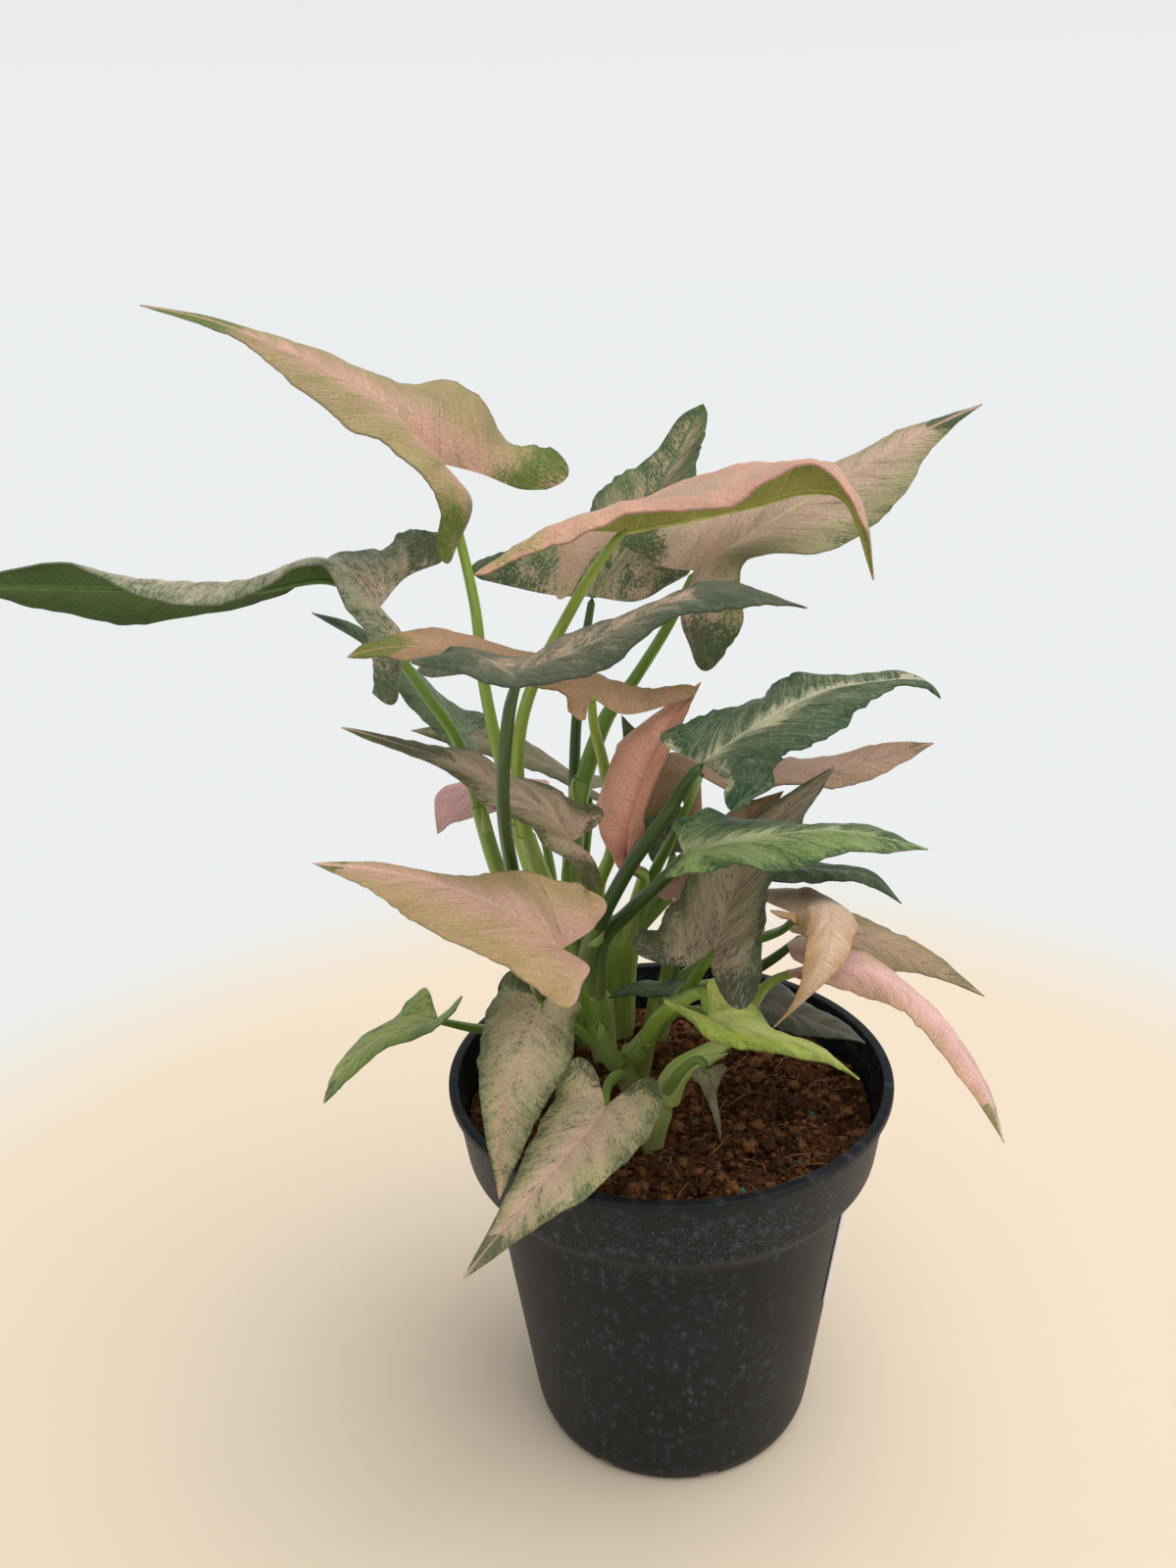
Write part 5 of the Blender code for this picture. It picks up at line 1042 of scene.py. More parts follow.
def thicken(piece, thickness, offset=0.0, other_side=0):
    """Give an open sheet its wall."""
    wall = piece.modifiers.new("Wall", "SOLIDIFY")
    wall.thickness = thickness * MM
    wall.offset = offset
    wall.material_offset = other_side
    bpy.context.view_layer.objects.active = piece
    bpy.ops.object.modifier_apply(modifier=wall.name)


def soften(piece, angle):
    """Shade smooth, with edges sharper than an angle left crisp."""
    deselect()
    piece.select_set(True)
    bpy.context.view_layer.objects.active = piece
    bpy.ops.object.shade_smooth_by_angle(angle=radians(angle))


def catmull_rom(points, place):
    """The point at a place along a smooth curve, where whole numbers are its own points."""
    count = len(points) - 1
    start = min(max(int(place), 0), count - 1)
    t = place - start
    b, c = points[start], points[start + 1]
    a = points[start - 1] if start > 0 else 2.0 * b - c
    d = points[start + 2] if start + 2 <= count else 2.0 * c - b
    return 0.5 * (2.0 * b + (c - a) * t + (2.0 * a - 5.0 * b + 4.0 * c - d) * t * t
                  + (3.0 * b - a - 3.0 * c + d) * t ** 3)


def smooth_share(value):
    """A share from 0 to 1 that starts and ends gently."""
    value = min(1.0, max(0.0, value))
    return value * value * (3.0 - 2.0 * value)


def blade_edges(name, side):
    """The inner and outer edge of one half of a blade, and the round end of its lobe.

    The inner edge goes from the lobe's end to the joint, and the rib carries it on to the tip.
    """
    blade = BLADES[name]
    key = "right" if side > 0 else "left"
    rib = [Vector(point) for point in blade["rib"]]
    margin = [Vector(point) for point in blade[key]]
    notch = [Vector(point) for point in blade.get(key + "_notch", [])]
    end = margin[0]
    inner_way = (notch + rib)[0] - end
    outer_way = margin[1] - end
    into = (inner_way.normalized() + outer_way.normalized()).normalized()
    half_end = outer_way - inner_way
    half_end = half_end - half_end.dot(into) * into
    widest = blade.get("ends", USUAL_ENDS)[0 if side < 0 else 1]
    half_end = half_end.normalized() * min(widest, 0.42 * half_end.length)
    inner = [end - half_end] + notch + rib[:1]
    outer = [end + half_end] + margin[1:] + [rib[-1]]
    return rib, inner, outer, into, half_end.length


def margin_waves(travelled, side, seed):
    """Small irregular waves of the margin: how far out and how far up they push it."""
    spot = Vector((travelled / 5.0, 7.3 * seed, 3.1 * side))
    jag = 0.8 * noise.noise(spot) + 0.5 * noise.noise(spot * 2.7)
    curl = (0.9 * noise.noise(spot * 0.6 + Vector((0.0, 0.0, 9.0)))
            + 0.5 * noise.noise(spot * 1.7 + Vector((0.0, 0.0, 5.0))))
    return jag, curl


def half_blade(name, side, seed):
    """One half of a blade: its points, its chart and the values that its finish reads."""
    rib, inner, outer, into, half_end = blade_edges(name, side)
    arch = BLADES[name].get("arch", USUAL_ARCH)[0 if side < 0 else 1]
    height, ripples = BLADES[name]["wave"]
    ragged = LOOKS[name].get("ragged", 1.0)
    tip_from = LOOKS[name]["tip_from"]
    joint = len(inner) - 1
    count = (len(outer) - 1) * ROWS_PER_SPAN
    points, chart = [], []
    values = {"across": [], "lobe": [], "tip": [], "side": []}
    normal = Vector((0.0, 0.0, 1.0))
    travelled = 0.0
    last = None
    for index in range(count + 1):
        place = index / ROWS_PER_SPAN
        line, shift = (inner, 0) if place < joint else (rib, joint)
        near = catmull_rom(line, place - shift)
        far = catmull_rom(outer, place)
        way = catmull_rom(line, place - shift + 0.05) - catmull_rom(line, place - shift - 0.05)
        # Where the two edges meet, the blade keeps the direction that it had just before
        face = ((far - near) * side).cross(way)
        if face.length > 1.0e-6:
            normal = face.normalized()
        width = (far - near).length
        travelled += (near - last).length if last else 0.0
        last = near
        out_way = (far - near).normalized() if width > 1.0e-6 else Vector((0.0, 0.0, 0.0))
        # The waves of the margin fade where the blade is narrow
        fade = min(1.0, width / 10.0)
        jag, curl = margin_waves(travelled, side, seed)
        jag *= fade * ragged
        curl *= fade
        ripple = height * fade * sin(2.0 * pi * ripples * index / count + 1.3 * side)
        # The lobe's end is round
        rounding = max(0.0, 1.0 - place) ** 2
        along = (place - joint) / (len(rib) - 1)
        at_row = {"lobe": max(0.0, 1.0 - place / joint), "side": 0.5 + 0.5 * side,
                  "tip": max(0.0, (along - tip_from) / (1.0 - tip_from))}
        row, pairs = [], []
        numbers = {key: [number] * (COLUMNS + 1) for key, number in at_row.items()}
        numbers["across"] = [column / COLUMNS for column in range(COLUMNS + 1)]
        for share in numbers["across"]:
            bulge = 4.0 * share * (1.0 - share)
            reach = share * width
            point = near * (1.0 - share) + far * share + normal * (arch * width * bulge)
            point += normal * (ripple * share * share + curl * share ** 3)
            point += out_way * (jag * share ** 2)
            vein_turn = 2.0 * pi * (travelled - VEIN_SLANT * reach) / VEIN_SPACING
            point += normal * (QUILT * fade * sin(pi * share) * cos(vein_turn))
            point -= into * (half_end * 0.9 * bulge * rounding)
            row.append(point)
            pairs.append((travelled - VEIN_SLANT * reach, side * reach))
        if side < 0:
            row.reverse()
            pairs.reverse()
            for kept in numbers.values():
                kept.reverse()
        points.append(row)
        chart.append(pairs)
        for key in values:
            values[key].append(numbers[key])
    return points, chart, values


def carried_frames(centres, facing):
    """A side and an up direction at each point of a route, turned as little as can be."""
    frames = []
    side = Vector(facing)
    for index in range(len(centres)):
        ahead = centres[min(index + 1, len(centres) - 1)] - centres[max(index - 1, 0)]
        way = ahead.normalized()
        side = (side - side.dot(way) * way).normalized()
        frames.append((side, way.cross(side)))
    return frames


def tube(name, centres, radii, section=None, sides=STALK_SIDES, facing=(0.0, -1.0, 0.0)):
    """A closed round limb along a route. Section gives the share of the radius at each turn."""
    frames = carried_frames(centres, facing)
    points, chart, foot = [], [], []
    travelled = 0.0
    last = len(centres) - 1
    for index, (centre, radius) in enumerate(zip(centres, radii)):
        if index:
            travelled += (centre - centres[index - 1]).length
        side, up = frames[index]
        row, pairs = [], []
        for column in range(sides + 1):
            turn = 2.0 * pi * column / sides
            reach = radius * (section(turn, index / last) if section else 1.0)
            row.append(centre + (side * cos(turn) + up * sin(turn)) * reach)
            pairs.append((turn * radius, travelled))
        points.append(row)
        chart.append(pairs)
        foot.append([max(0.0, 1.0 - travelled / STALK_FOOT_REACH)] * (sides + 1))
    for place, index in ((0, 0), (len(points), last)):
        points.insert(place, [centres[index]] * (sides + 1))
        chart.insert(place, chart[-1 if place else 0])
        foot.insert(place, foot[-1 if place else 0])
    points = [list(reversed(row)) for row in points]
    chart = [list(reversed(row)) for row in chart]
    piece = shaped_grid(name, points, ("stalk", chart), {"foot": foot})
    return join([piece], name, merge=0.002)


def smooth_route(points, step):
    """Centres and radii close together along a smooth curve through points with a radius each."""
    values = [Vector(point) for point in points]
    centres, radii = [], []
    for span in range(len(values) - 1):
        length = (values[span + 1] - values[span]).length
        steps = max(2, round(length / step))
        for part in range(steps):
            found = catmull_rom(values, span + part / steps)
            centres.append(Vector(found[:3]))
            radii.append(found[3])
    centres.append(Vector(values[-1][:3]))
    radii.append(values[-1][3])
    return centres, radii


def stalk_colour(blade):
    """The name of a stalk's finish."""
    if blade in YELLOW_STALKS:
        return "stalk_yellow"
    return "stalk_dark" if blade in DARK_STALKS else "stalk_green"


def make_sheath(name, centres, radii, facing, share_wrapped, finishes):
    """The thin sheath that wraps a stalk's lower part, and the pale papery tip that ends it."""
    top = max(8, int(share_wrapped * len(centres)))
    frames = carried_frames(centres, facing)
    pieces = []
    for part, first, last in (("wrap", 0, top), ("tip", top - SHEATH_TIP_STEPS, top)):
        points, chart, foot = [], [], []
        travelled = 0.0
        for index in range(first, last + 1):
            share = (index - first) / (last - first)
            if index > first:
                travelled += (centres[index] - centres[index - 1]).length
            side, up = frames[index]
            if part == "wrap":
                half = radians(SHEATH_HALF_TURN) * (1.0 - 0.3 * share)
                lift = SHEATH_FIT
            else:
                # The tip narrows almost to a point, and stands off the stalk there
                half = radians(SHEATH_TIP_HALF_TURN) * (1.0 - smooth_share(share)) + radians(5.0)
                lift = SHEATH_FIT + SHEATH_WALL + 0.5 * share * share
            row, pairs = [], []
            for column in range(SHEATH_COLUMNS + 1):
                turn = half * (2.0 * column / SHEATH_COLUMNS - 1.0)
                reach = radii[index] * 1.04 + lift
                row.append(centres[index] + (side * cos(turn) + up * sin(turn)) * reach)
                pairs.append((turn * radii[index], travelled))
            points.append(row)
            chart.append(pairs)
            foot.append([1.0 - 0.6 * share] * (SHEATH_COLUMNS + 1))
        sheath = shaped_grid(name + "_" + part, points, ("stalk", chart), {"foot": foot})
        thicken(sheath, SHEATH_WALL)
        sheath.data.materials.append(finishes[part])
        pieces.append(sheath)
    return pieces


def core_section(turn, share):
    """The shallow ridges of a shoot's core, as a share of its radius at each turn."""
    return 1.0 + 0.07 * cos(2.0 * turn + 2.0 * share) + 0.03 * cos(5.0 * turn + 3.0 * share)


def stalk_section(turn, share):
    """A stalk is a little wider one way than the other."""
    return 1.0 + 0.04 * cos(2.0 * turn)


def stub_section(turn, share):
    """A dry stub has three blunt corners."""
    return 1.0 + 0.06 * cos(3.0 * turn)


def make_shoot(name, finishes, chance):
    """A shoot: its sheathed core, and its stalks, which run up into the ribs of their leaves."""
    shoot = SHOOTS[name]
    limbs = []
    centres, radii = smooth_route(shoot["core"], STALK_STEP)
    # The core narrows over its last few steps
    taper_from = len(radii) - CORE_TAPER_STEPS
    radii = [radius * (1.0 - CORE_TAPER * max(0, index - taper_from))
             for index, radius in enumerate(radii)]
    core = tube(name + "_core", centres, radii, core_section, CORE_SIDES)
    core.data.materials.append(finishes["stalk_sheath"])
    limbs.append(core)
    for blade, points in shoot["stalks"].items():
        joint = Vector(BLADES[blade]["rib"][0])
        route = list(points) + [(*joint, STALK_END_RADIUS)]
        centres, radii = smooth_route(route, STALK_STEP)
        limb = tube(name + "_" + blade, centres, radii, stalk_section)
        limb.data.materials.append(finishes[stalk_colour(blade)])
        limbs.append(limb)
        turn = chance.uniform(-1.2, 1.2)
        if blade in SHEATHED:
            own = {"wrap": finishes[stalk_colour(blade)], "tip": finishes["sheath_tip"]}
            limbs += make_sheath(name + "_" + blade, centres, radii, (sin(turn), -cos(turn), 0.0),
                                 SHEATHED[blade], own)
    piece = join(limbs, name.replace("shoot", "stalks"))
    soften(piece, 50.0)
    settle(piece, name)


def make_rib(name):
    """The raised rib on a leaf's under side, thinner towards the tip."""
    blade = BLADES[name]
    rib = [Vector(point) for point in blade["rib"]]
    sideways = (Vector(blade["right"][2]) - Vector(blade["left"][2])).normalized()
    thick = min(STALK_END_RADIUS, 0.012 * (rib[-1] - rib[0]).length)
    steps = (len(rib) - 1) * ROWS_PER_SPAN
    centres, radii = [], []
    for index in range(steps):
        place = index / ROWS_PER_SPAN
        way = catmull_rom(rib, place + 0.05) - catmull_rom(rib, place - 0.05)
        normal = sideways.cross(way).normalized()
        radius = thick * (1.0 - 0.8 * (index / steps))
        centres.append(catmull_rom(rib, place) - normal * (0.45 * radius + 0.05))
        radii.append(radius)
    ridge = tube("rib", centres, radii, sides=RIB_SIDES)
    ridge.data.materials.append(rib_finish("rib_" + name, LOOKS[name]))
    return ridge


def make_leaf(name, seed):
    """A leaf blade with its two halves, its thickness and the rib on its under side."""
    look = LOOKS[name]
    halves = []
    for side in (-1, 1):
        points, chart, values = half_blade(name, side, seed)
        halves.append(shaped_grid("half", points, ("blade", chart), values))
    leaf = join(halves, "leaf_" + name, merge=0.02)
    leaf.data.materials.append(leaf_finish("upper_" + name, look, seed, True))
    leaf.data.materials.append(leaf_finish("under_" + name, look, seed, False))
    thicken(leaf, BLADE_THICKNESS, 0.0, 1)
    leaf = join([leaf, make_rib(name)], "leaf_" + name)
    soften(leaf, 45.0)
    settle(leaf, "blade_" + name)


def extrude_border(start, end, grow):
    """Extrude the selected border from one height to another and widen it by a share."""
    climb = (0.0, 0.0, (end - start) * MM)
    bpy.ops.mesh.extrude_region_move(TRANSFORM_OT_translate={"value": climb})
    bpy.ops.transform.resize(value=(grow, grow, 1.0), center_override=(0.0, 0.0, end * MM))


def turned(name, profile, sides):
    """A ring extruded and resized through a profile of radius and height."""
    deselect()
    radius, height = profile[0]
    start = (0.0, 0.0, height * MM)
    bpy.ops.mesh.primitive_circle_add(vertices=sides, radius=radius * MM, location=start)
    bpy.ops.object.transform_apply(location=True, rotation=False, scale=False)
    piece = bpy.context.object
    piece.name = name
    bpy.ops.object.mode_set(mode="EDIT")
    bpy.ops.mesh.select_all(action="SELECT")
    for (near, low), (far, high) in zip(profile, profile[1:]):
        extrude_border(low, high, far / near)
    bpy.ops.object.mode_set(mode="OBJECT")
    return piece


def rounded(corners, steps):
    """A profile whose corners are rounded: each corner is radius, height and rounding."""
    profile = []
    for index, (x, z, rounding) in enumerate(corners):
        here = Vector((x, z))
        if rounding == 0.0 or index in (0, len(corners) - 1):
            profile.append((x, z))
            continue
        before = (Vector(corners[index - 1][:2]) - here).normalized() * rounding
        after = (Vector(corners[index + 1][:2]) - here).normalized() * rounding
        for step in range(steps + 1):
            t = step / steps
            point = here + before * (1.0 - t) ** 2 + after * t ** 2
            profile.append((point.x, point.y))
    return profile


def wrap_chart(piece, name):
    """A map of arc length and height round a turned piece."""
    mesh = piece.data
    layer = mesh.uv_layers.new(name=name)
    numbers = []
    for face in mesh.polygons:
        face_radius = sqrt(face.center.x ** 2 + face.center.y ** 2)
        face_turn = atan2(face.center.y, face.center.x)
        for index in face.vertices:
            point = mesh.vertices[index].co
            turn = atan2(point.y, point.x)
            turn += 2.0 * pi * round((face_turn - turn) / (2.0 * pi))
            # On a flat face the radius takes the place of the height
            outwards = sqrt(point.x ** 2 + point.y ** 2) - face_radius
            numbers += [turn * POT_CHART_RADIUS, (point.z + 0.6 * outwards) / MM]
    layer.data.foreach_set("uv", numbers)


def pot_profile():
    """The pot's section from the middle of its floor, up inside, over the lip and down outside."""
    inner = [(CENTRE_RADIUS, FLOOR, 0.0), (FOOT_RADIUS - WALL - 1.0, FLOOR, 2.0),
             (BODY_FOOT_RADIUS - WALL, BODY_FOOT, 2.0), (STEP_RADIUS - WALL, STEP_FOOT, 1.0),
             (COLLAR_FOOT_RADIUS - WALL, COLLAR_FOOT + WALL, 1.0),
             (COLLAR_TOP_RADIUS - WALL, POT_HEIGHT, 0.5)]
    outer = [(RIM_RADIUS, POT_HEIGHT, 0.7), (RIM_RADIUS, POT_HEIGHT - LIP_HEIGHT, 0.5),
             (COLLAR_TOP_RADIUS, POT_HEIGHT - LIP_HEIGHT - 0.5, 0.4),
             (COLLAR_FOOT_RADIUS, COLLAR_FOOT, 3.0), (STEP_RADIUS, STEP_FOOT, 2.6),
             (STEP_RADIUS - 1.0, STEP_FOOT - 8.0, 0.0),
             (BODY_FOOT_RADIUS, BODY_FOOT, 3.0), (BODY_FOOT_RADIUS - 1.0, 4.5, 2.0),
             (FOOT_RADIUS + 0.6, 1.0, 1.0), (FOOT_RADIUS - 1.0, 0.0, 0.6),
             (CENTRE_RADIUS, 0.0, 0.0)]
    return rounded(inner + outer, CORNER_STEPS)


def close_floor(pot):
    """Close the middle of the pot's floor, below and above, and turn the faces outwards."""
    bpy.ops.object.mode_set(mode="EDIT")
    for level in (0.0, FLOOR):
        bpy.ops.mesh.select_all(action="DESELECT")
        bpy.ops.object.mode_set(mode="OBJECT")
        for vertex in pot.data.vertices:
            inside = vertex.co.xy.length < (CENTRE_RADIUS + 0.5) * MM
            vertex.select = inside and abs(vertex.co.z - level * MM) < 0.01 * MM
        bpy.ops.object.mode_set(mode="EDIT")
        bpy.ops.mesh.select_mode(type="VERT")
        bpy.ops.mesh.edge_face_add()
    bpy.ops.mesh.select_all(action="SELECT")
    bpy.ops.mesh.normals_make_consistent(inside=False)
    bpy.ops.object.mode_set(mode="OBJECT")


def pot_cutter():
    """The drain holes and the slots at the bottom edge, as one solid to cut away."""
    cutters = []
    for index in range(DRAIN_HOLES):
        turn = 2.0 * pi * (index + DRAIN_TURN) / DRAIN_HOLES
        ring = DRAIN_RING_RADIUS * MM
        bpy.ops.mesh.primitive_cylinder_add(
            vertices=32, radius=DRAIN_HOLE_RADIUS * MM, depth=4.0 * FLOOR * MM,
            location=(ring * cos(turn), ring * sin(turn), 0.0))
        cutters.append(bpy.context.object)
    for index in range(FOOT_SLOTS):
        turn = 2.0 * pi * (index + FOOT_SLOT_TURN) / FOOT_SLOTS
        ring = FOOT_RADIUS * MM
        bpy.ops.mesh.primitive_cube_add(
            size=1.0, location=(ring * cos(turn), ring * sin(turn), 0.0), rotation=(0.0, 0.0, turn),
            scale=(FOOT_SLOT_DEPTH * MM, FOOT_SLOT_WIDTH * MM, 2.0 * FOOT_SLOT_HEIGHT * MM))
        cutters.append(bpy.context.object)
    return join(cutters, "pot_cutter")


def make_pot():
    """The pot, with its rounded lip, collar, soft step, tapered body, drain holes and slots."""
    pot = turned("nursery_pot", pot_profile(), POT_SIDES)
    close_floor(pot)
    cutter = pot_cutter()
    cut = pot.modifiers.new("Cut", "BOOLEAN")
    cut.operation = "DIFFERENCE"
    cut.object = cutter
    cut.solver = "MANIFOLD"
    deselect()
    bpy.context.view_layer.objects.active = pot
    bpy.ops.object.modifier_apply(modifier=cut.name)
    bpy.data.objects.remove(cutter, do_unlink=True)
    wrap_chart(pot, "wrap")
    pot.data.materials.clear()
    pot.data.materials.append(pot_finish())
    soften(pot, 40.0)
    settle(pot, "pot")


def body_radius(height):
    """Radius of the pot's outer body at a height."""
    slope = (STEP_RADIUS - BODY_FOOT_RADIUS) / (STEP_FOOT - BODY_FOOT)
    return BODY_FOOT_RADIUS + slope * (height - BODY_FOOT)


def make_label():
    """The blank sticker on the pot's body, with rounded corners."""
    half_turn = radians(LABEL_TO - LABEL_FROM) / 2.0
    middle = radians(LABEL_FROM + LABEL_TO) / 2.0
    tall = (LABEL_TOP - LABEL_FOOT) / 2.0
    points, chart = [], []
    for row in range(LABEL_ROWS + 1):
        up = 2.0 * row / LABEL_ROWS - 1.0
        line, pairs = [], []
        for column in range(LABEL_COLUMNS + 1):
            along = 2.0 * column / LABEL_COLUMNS - 1.0
            height = (LABEL_TOP + LABEL_FOOT) / 2.0 + up * tall
            wide = half_turn * body_radius(height)
            # Pull the outermost points in round the corners
            past_side = max(0.0, abs(along) * wide - (wide - LABEL_CORNER))
            past_top = max(0.0, abs(up) * tall - (tall - LABEL_CORNER))
            over = sqrt(past_side ** 2 + past_top ** 2)
            pull = LABEL_CORNER / over if over > LABEL_CORNER else 1.0
            x = (abs(along) * wide - past_side * (1.0 - pull)) * (1 if along > 0 else -1)
            height -= past_top * (1.0 - pull) * (1 if up > 0 else -1)
            radius = body_radius(height) + LABEL_GAP
            turn = middle + x / body_radius(height)
            line.append((radius * cos(turn), radius * sin(turn), height))
            pairs.append((x, height))
        points.append(line)
        chart.append(pairs)
    label = shaped_grid("blank_label", points, ("paper", chart), {})
    thicken(label, LABEL_PAPER, 1.0)
    label.data.materials.append(label_finish())
    soften(label, 40.0)
    settle(label, "label")


def soil_lump(x, y):
    """How far the soil's surface stands above or below its level at a place."""
    lumps = sin(0.17 * x + 1.0) * cos(0.21 * y) + 0.6 * sin(0.43 * y - 0.31 * x)
    return SOIL_LUMP * lumps


def soil_grain(x, y):
    """Clods and crumbs of the soil's surface."""
    clods = noise.noise(Vector((x / 7.0, y / 7.0, 1.7)))
    crumbs = 1.0 - 2.2 * abs(noise.noise(Vector((x / 3.4, y / 3.4, 4.1))))
    grains = noise.noise(Vector((x / 1.2, y / 1.2, 8.3)))
    return 1.6 * clods + 1.3 * crumbs - 0.6 + 0.7 * grains


def soil_top(x, y):
    """Height of the finished soil at a place."""
    return SOIL_TOP + soil_lump(x, y) + soil_grain(x, y)


def pot_inner_radius(height):
    """Radius of the pot's inner wall at a height."""
    stations = [(FLOOR, FOOT_RADIUS - WALL - 1.5), (BODY_FOOT, BODY_FOOT_RADIUS - WALL),
                (STEP_FOOT, STEP_RADIUS - WALL), (COLLAR_FOOT + WALL, COLLAR_FOOT_RADIUS - WALL),
                (POT_HEIGHT, COLLAR_TOP_RADIUS - WALL)]
    for (low, near), (high, far) in zip(stations, stations[1:]):
        if height <= high:
            share = (height - low) / (high - low)
            return near + share * (far - near)
    return stations[-1][1]


def make_soil():
    """The soil: a lumpy top on a body that fills the pot."""
    reach = pot_inner_radius(SOIL_TOP) - SOIL_GAP
    points, chart, raised = [], [], []
    for row in range(SOIL_CELLS + 1):
        line, pairs, numbers = [], [], []
        for column in range(SOIL_CELLS + 1):
            # A square of cells rounded to a disc
            u = 2.0 * column / SOIL_CELLS - 1.0
            v = 2.0 * row / SOIL_CELLS - 1.0
            x = reach * u * sqrt(1.0 - v * v / 2.0)
            y = reach * v * sqrt(1.0 - u * u / 2.0)
            line.append((x, y, soil_top(x, y)))
            pairs.append((x, y))
            numbers.append(0.5 + 0.22 * soil_grain(x, y))
        points.append(line)
        chart.append(pairs)
        raised.append(numbers)
    soil = shaped_grid("soil_bed", points, ("bed", chart), {"raised": raised})
    # The side and the foot, extruded from the border down the pot's wall
    bpy.ops.object.mode_set(mode="EDIT")
    bpy.ops.mesh.select_all(action="SELECT")
    bpy.ops.mesh.region_to_loop()
    levels = [SOIL_TOP, SOIL_TOP - SOIL_EDGE, COLLAR_FOOT + WALL, STEP_FOOT, BODY_FOOT, SOIL_FOOT]
    for high, low in zip(levels, levels[1:]):
        grow = (pot_inner_radius(low) - SOIL_GAP) / (pot_inner_radius(high) - SOIL_GAP)
        extrude_border(high, low, grow)
    bpy.ops.transform.resize(value=(1.0, 1.0, 0.0), center_override=(0.0, 0.0, SOIL_FOOT * MM))
    bpy.ops.mesh.edge_face_add()
    bpy.ops.mesh.select_all(action="SELECT")
    bpy.ops.mesh.normals_make_consistent(inside=False)
    bpy.ops.object.mode_set(mode="OBJECT")
    soil.data.materials.append(soil_finish("soil_peat", SOIL_DARK, SOIL_LIGHT))
    soften(soil, 70.0)
    settle(soil, "soil")


def scattered(chance, reach):
    """A random place on the soil."""
    radius = reach * sqrt(chance.random())
    turn = chance.uniform(0.0, 2.0 * pi)
    return radius * cos(turn), radius * sin(turn)


def copies(name, models, placed, finish):
    """One piece of many small copies, each a model with its own turn, size and place."""
    points, faces = [], []
    for model, matrix in placed:
        first = len(points)
        points += [matrix @ vertex.co for vertex in models[model].vertices]
        faces += [[first + index for index in face.vertices] for face in models[model].polygons]
    mesh = bpy.data.meshes.new(name)
    mesh.from_pydata(points, [], faces)
    piece = bpy.data.objects.new(name, mesh)
    bpy.context.scene.collection.objects.link(piece)
    mesh.materials.append(finish)
    mesh.shade_smooth()
    settle(piece, "soil")


def crumb_models(fineness, count):
    """A few ragged lumps of peat."""
    models = []
    for index in range(count):
        deselect()
        bpy.ops.mesh.primitive_ico_sphere_add(subdivisions=fineness, radius=MM)
        lump = bpy.context.object
        for vertex in lump.data.vertices:
            spot = vertex.co / MM
            push = 1.0 + 0.9 * noise.noise(spot * 1.4 + Vector((5.0 * index, 0.0, 0.0)))
            push += 0.5 * noise.noise(spot * 3.3 + Vector((0.0, 5.0 * index, 0.0)))
            vertex.co *= max(0.35, push)
        models.append(lump.data)
        bpy.data.objects.remove(lump, do_unlink=True)
    return models


def on_soil(x, y, above):
    """The move to a place a little above the soil."""
    return Matrix.Translation((x * MM, y * MM, (soil_top(x, y) + above) * MM))


def turn_and_size(chance, size, flatten=1.0):
    """A random turn with a size."""
    turn = Matrix.Rotation(chance.uniform(0.0, 2.0 * pi), 4, "Z")
    tip = Matrix.Rotation(chance.uniform(-0.6, 0.6), 4, "X")
    stretch = Matrix.Diagonal((size * chance.uniform(0.8, 1.6), size, size * flatten, 1.0))
    return turn @ tip @ stretch


def make_crumbs(chance):
    """Loose crumbs of two sizes, in two browns, and a few slow-release granules in teal."""
    lumps = crumb_models(2, LUMP_MODELS)
    bits = crumb_models(1, BIT_MODELS)
    reach = pot_inner_radius(SOIL_TOP) - 2.0
    # Each size: its models, how many, the smallest, how fast they thin out, and the largest
    sizes = {"": (lumps, LUMPS, 0.9, 1.9, 2.2), "_fine": (bits, BITS, 0.3, 3.0, 1.0)}
    for name, (dark, light) in CRUMB_TONES.items():
        finish = plain_finish(name + "_peat", dark, light, 0.9, 0.9)
        for kind, (models, number, smallest, rate, largest) in sizes.items():
            placed = []
            for _ in range(number // 2):
                x, y = scattered(chance, reach)
                size = min(largest, smallest + chance.expovariate(rate))
                model = chance.randrange(len(models))
                turn = turn_and_size(chance, size, 0.75)
                placed.append((model, on_soil(x, y, 0.2 * size) @ turn))
            copies(name + kind, models, placed, finish)
    spots = GRANULE_PLACES + [scattered(chance, GRANULE_REACH) for _ in range(GRANULES)]
    placed = []
    for x, y in spots:
        model = chance.randrange(len(lumps))
        turn = turn_and_size(chance, chance.uniform(0.6, 1.0), 0.8)
        placed.append((model, on_soil(x, y, 0.4) @ turn))
    finish = plain_finish("granule", GRANULE_DARK, GRANULE_LIGHT, 1.0, 0.6)
    copies("soil_granules", lumps, placed, finish)


def fibre_models(chance, count):
    """A few bent strands of coir, each one long."""
    models = []
    for index in range(count):
        bend = chance.uniform(0.2, 1.1)
        centres, radii = [], []
        for step in range(FIBRE_SPANS + 1):
            t = step / FIBRE_SPANS
            sideways = 0.16 * sin(bend * 6.0 * t + index)
            centres.append(Vector((t - 0.5, sideways, 0.22 * sin(pi * t) * bend)))
            radii.append(1.0 - 0.6 * abs(2.0 * t - 1.0))
        radii = [FIBRE_RADIUS * radius for radius in radii]
        strand = tube("strand", centres, radii, sides=4, facing=(0.0, 1.0, 0.0))
        models.append(strand.data)
        bpy.data.objects.remove(strand, do_unlink=True)
    return models


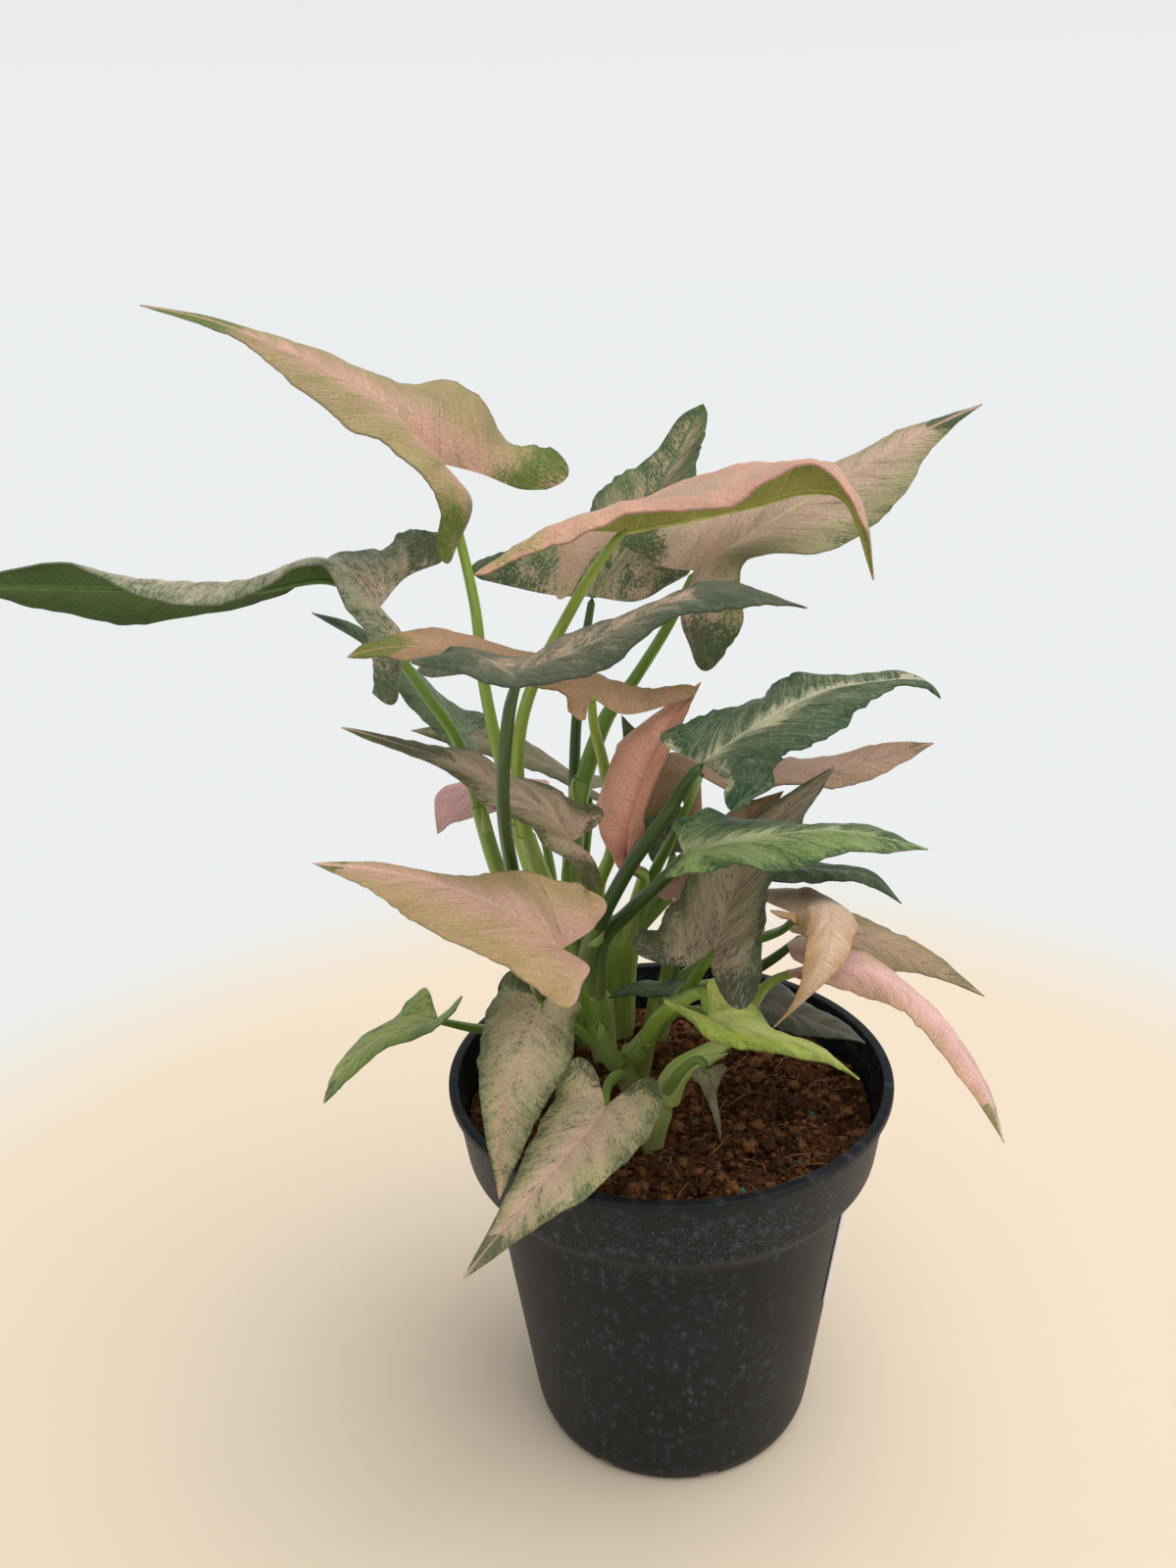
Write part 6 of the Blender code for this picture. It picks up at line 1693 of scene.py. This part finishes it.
def make_fibres(chance):
    """Loose coir fibres among the crumbs: many short dark ones and some long pale ones."""
    models = fibre_models(chance, FIBRE_MODELS)
    reach = pot_inner_radius(SOIL_TOP) - 5.0
    for name, (number, (shortest, longest), dark, light) in FIBRE_KINDS.items():
        placed = []
        for _ in range(number):
            x, y = scattered(chance, reach)
            size = chance.uniform(shortest, longest)
            model = chance.randrange(len(models))
            placed.append((model, on_soil(x, y, 0.5) @ turn_and_size(chance, size)))
        copies(name, models, placed, plain_finish(name + "_coir", dark, light, 4.0, 0.8))


def make_stubs():
    """The cut end of an old stalk, and a yellowed dead stalk."""
    for name, points in STUBS.items():
        centres, radii = smooth_route(points, 0.8)
        stub = tube(name + "_piece", centres, radii, stub_section)
        finish, dark, light = STUB_TONES[name]
        stub.data.materials.append(plain_finish(finish, dark, light, 3.0, 0.55))
        soften(stub, 40.0)
        settle(stub, name)


def make_camera():
    """The camera at the photograph's place."""
    lens = bpy.data.cameras.new("camera")
    lens.lens = CAMERA_LENS
    camera = bpy.data.objects.new("camera", lens)
    bpy.context.scene.collection.objects.link(camera)
    yaw, pitch, roll = radians(CAMERA_YAW), radians(CAMERA_PITCH), radians(CAMERA_ROLL)
    ahead = Vector((sin(yaw) * cos(pitch), cos(yaw) * cos(pitch), -sin(pitch)))
    level = Vector((cos(yaw), -sin(yaw), 0.0))
    above = level.cross(ahead)
    right = cos(roll) * level + sin(roll) * above
    up = cos(roll) * above - sin(roll) * level
    turn = Matrix((right, up, -ahead)).transposed().to_4x4()
    camera.matrix_world = Matrix.Translation(Vector(CAMERA_PLACE) * MM) @ turn
    bpy.context.scene.camera = camera


def add_sun(name, place, power, spread, tint):
    """Soft light from one side: place is where it comes from, spread its width in degrees."""
    lamp = bpy.data.lights.new(name, "SUN")
    lamp.energy = power
    lamp.angle = radians(spread)
    lamp.color = tint
    light = bpy.data.objects.new(name, lamp)
    bpy.context.scene.collection.objects.link(light)
    light.location = place
    light.rotation_euler = (-Vector(place)).to_track_quat("-Z", "Y").to_euler()


def floor_finish():
    """A plain pale floor, warm round the pot and almost white further out."""
    finish = Finish("floor_matte", 0.75, 0.2)
    x, y, _ = finish.parts(finish.stretched(finish.place(), (MM, MM, MM)))
    square = finish.plus(finish.times(x, x), finish.times(y, y))
    far = finish.step(finish.reckon("SQRT", square), FLOOR_NEAR_REACH, FLOOR_FAR_REACH)
    finish.colour(finish.blend(far, paint(FLOOR_NEAR), paint(FLOOR_FAR)))
    return finish.material


def make_surround():
    """A surround that is bright at the horizon and dimmer overhead."""
    world = bpy.data.worlds.new("studio")
    world.use_nodes = True
    tree = world.node_tree
    way = tree.nodes.new("ShaderNodeTexCoord")
    parts = tree.nodes.new("ShaderNodeSeparateXYZ")
    lift = tree.nodes.new("ShaderNodeMapRange")
    lift.inputs["From Min"].default_value = HORIZON_TO
    lift.inputs["From Max"].default_value = OVERHEAD_FROM
    tone = tree.nodes.new("ShaderNodeMix")
    tone.data_type = "RGBA"
    colours = colour_sockets(tone.inputs)
    colours[0].default_value = paint(HORIZON_COLOUR)
    colours[1].default_value = paint(OVERHEAD_COLOUR)
    tree.links.new(way.outputs["Generated"], parts.inputs["Vector"])
    tree.links.new(parts.outputs["Z"], lift.inputs["Value"])
    tree.links.new(lift.outputs["Result"], tone.inputs["Factor"])
    result = colour_sockets(tone.outputs)[0]
    tree.links.new(result, tree.nodes["Background"].inputs["Color"])
    # The surround lights the plant a little less brightly than it shows behind it
    seen = tree.nodes.new("ShaderNodeLightPath")
    power = tree.nodes.new("ShaderNodeMapRange")
    power.inputs["To Min"].default_value = AMBIENT
    tree.links.new(seen.outputs["Is Camera Ray"], power.inputs["Value"])
    tree.links.new(power.outputs["Result"], tree.nodes["Background"].inputs["Strength"])
    bpy.context.scene.world = world


def make_studio():
    """A plain pale floor, a pale surround and one soft light."""
    deselect()
    bpy.ops.mesh.primitive_circle_add(vertices=96, radius=FLOOR_RADIUS, fill_type="NGON")
    floor = bpy.context.object
    floor.name = "floor"
    floor.data.materials.append(floor_finish())
    make_surround()
    add_sun("window", KEY_PLACE, KEY_POWER, KEY_SPREAD, KEY_TINT)
    bpy.context.scene.view_settings.view_transform = "Standard"


def main():
    """Make every piece of the plant and its pot, and the studio."""
    chance = random.Random(RANDOM_SEED)
    make_camera()
    make_studio()
    make_pot()
    make_label()
    make_soil()
    make_crumbs(chance)
    make_fibres(chance)
    finishes = {name: stalk_finish(name, *tones) for name, tones in STALK_TONES.items()}
    finishes["sheath_tip"] = sheath_tip_finish()
    for name in SHOOTS:
        make_shoot(name, finishes, chance)
    make_stubs()
    for seed, name in enumerate(BLADES, 1):
        make_leaf(name, seed)


main()
deselect()
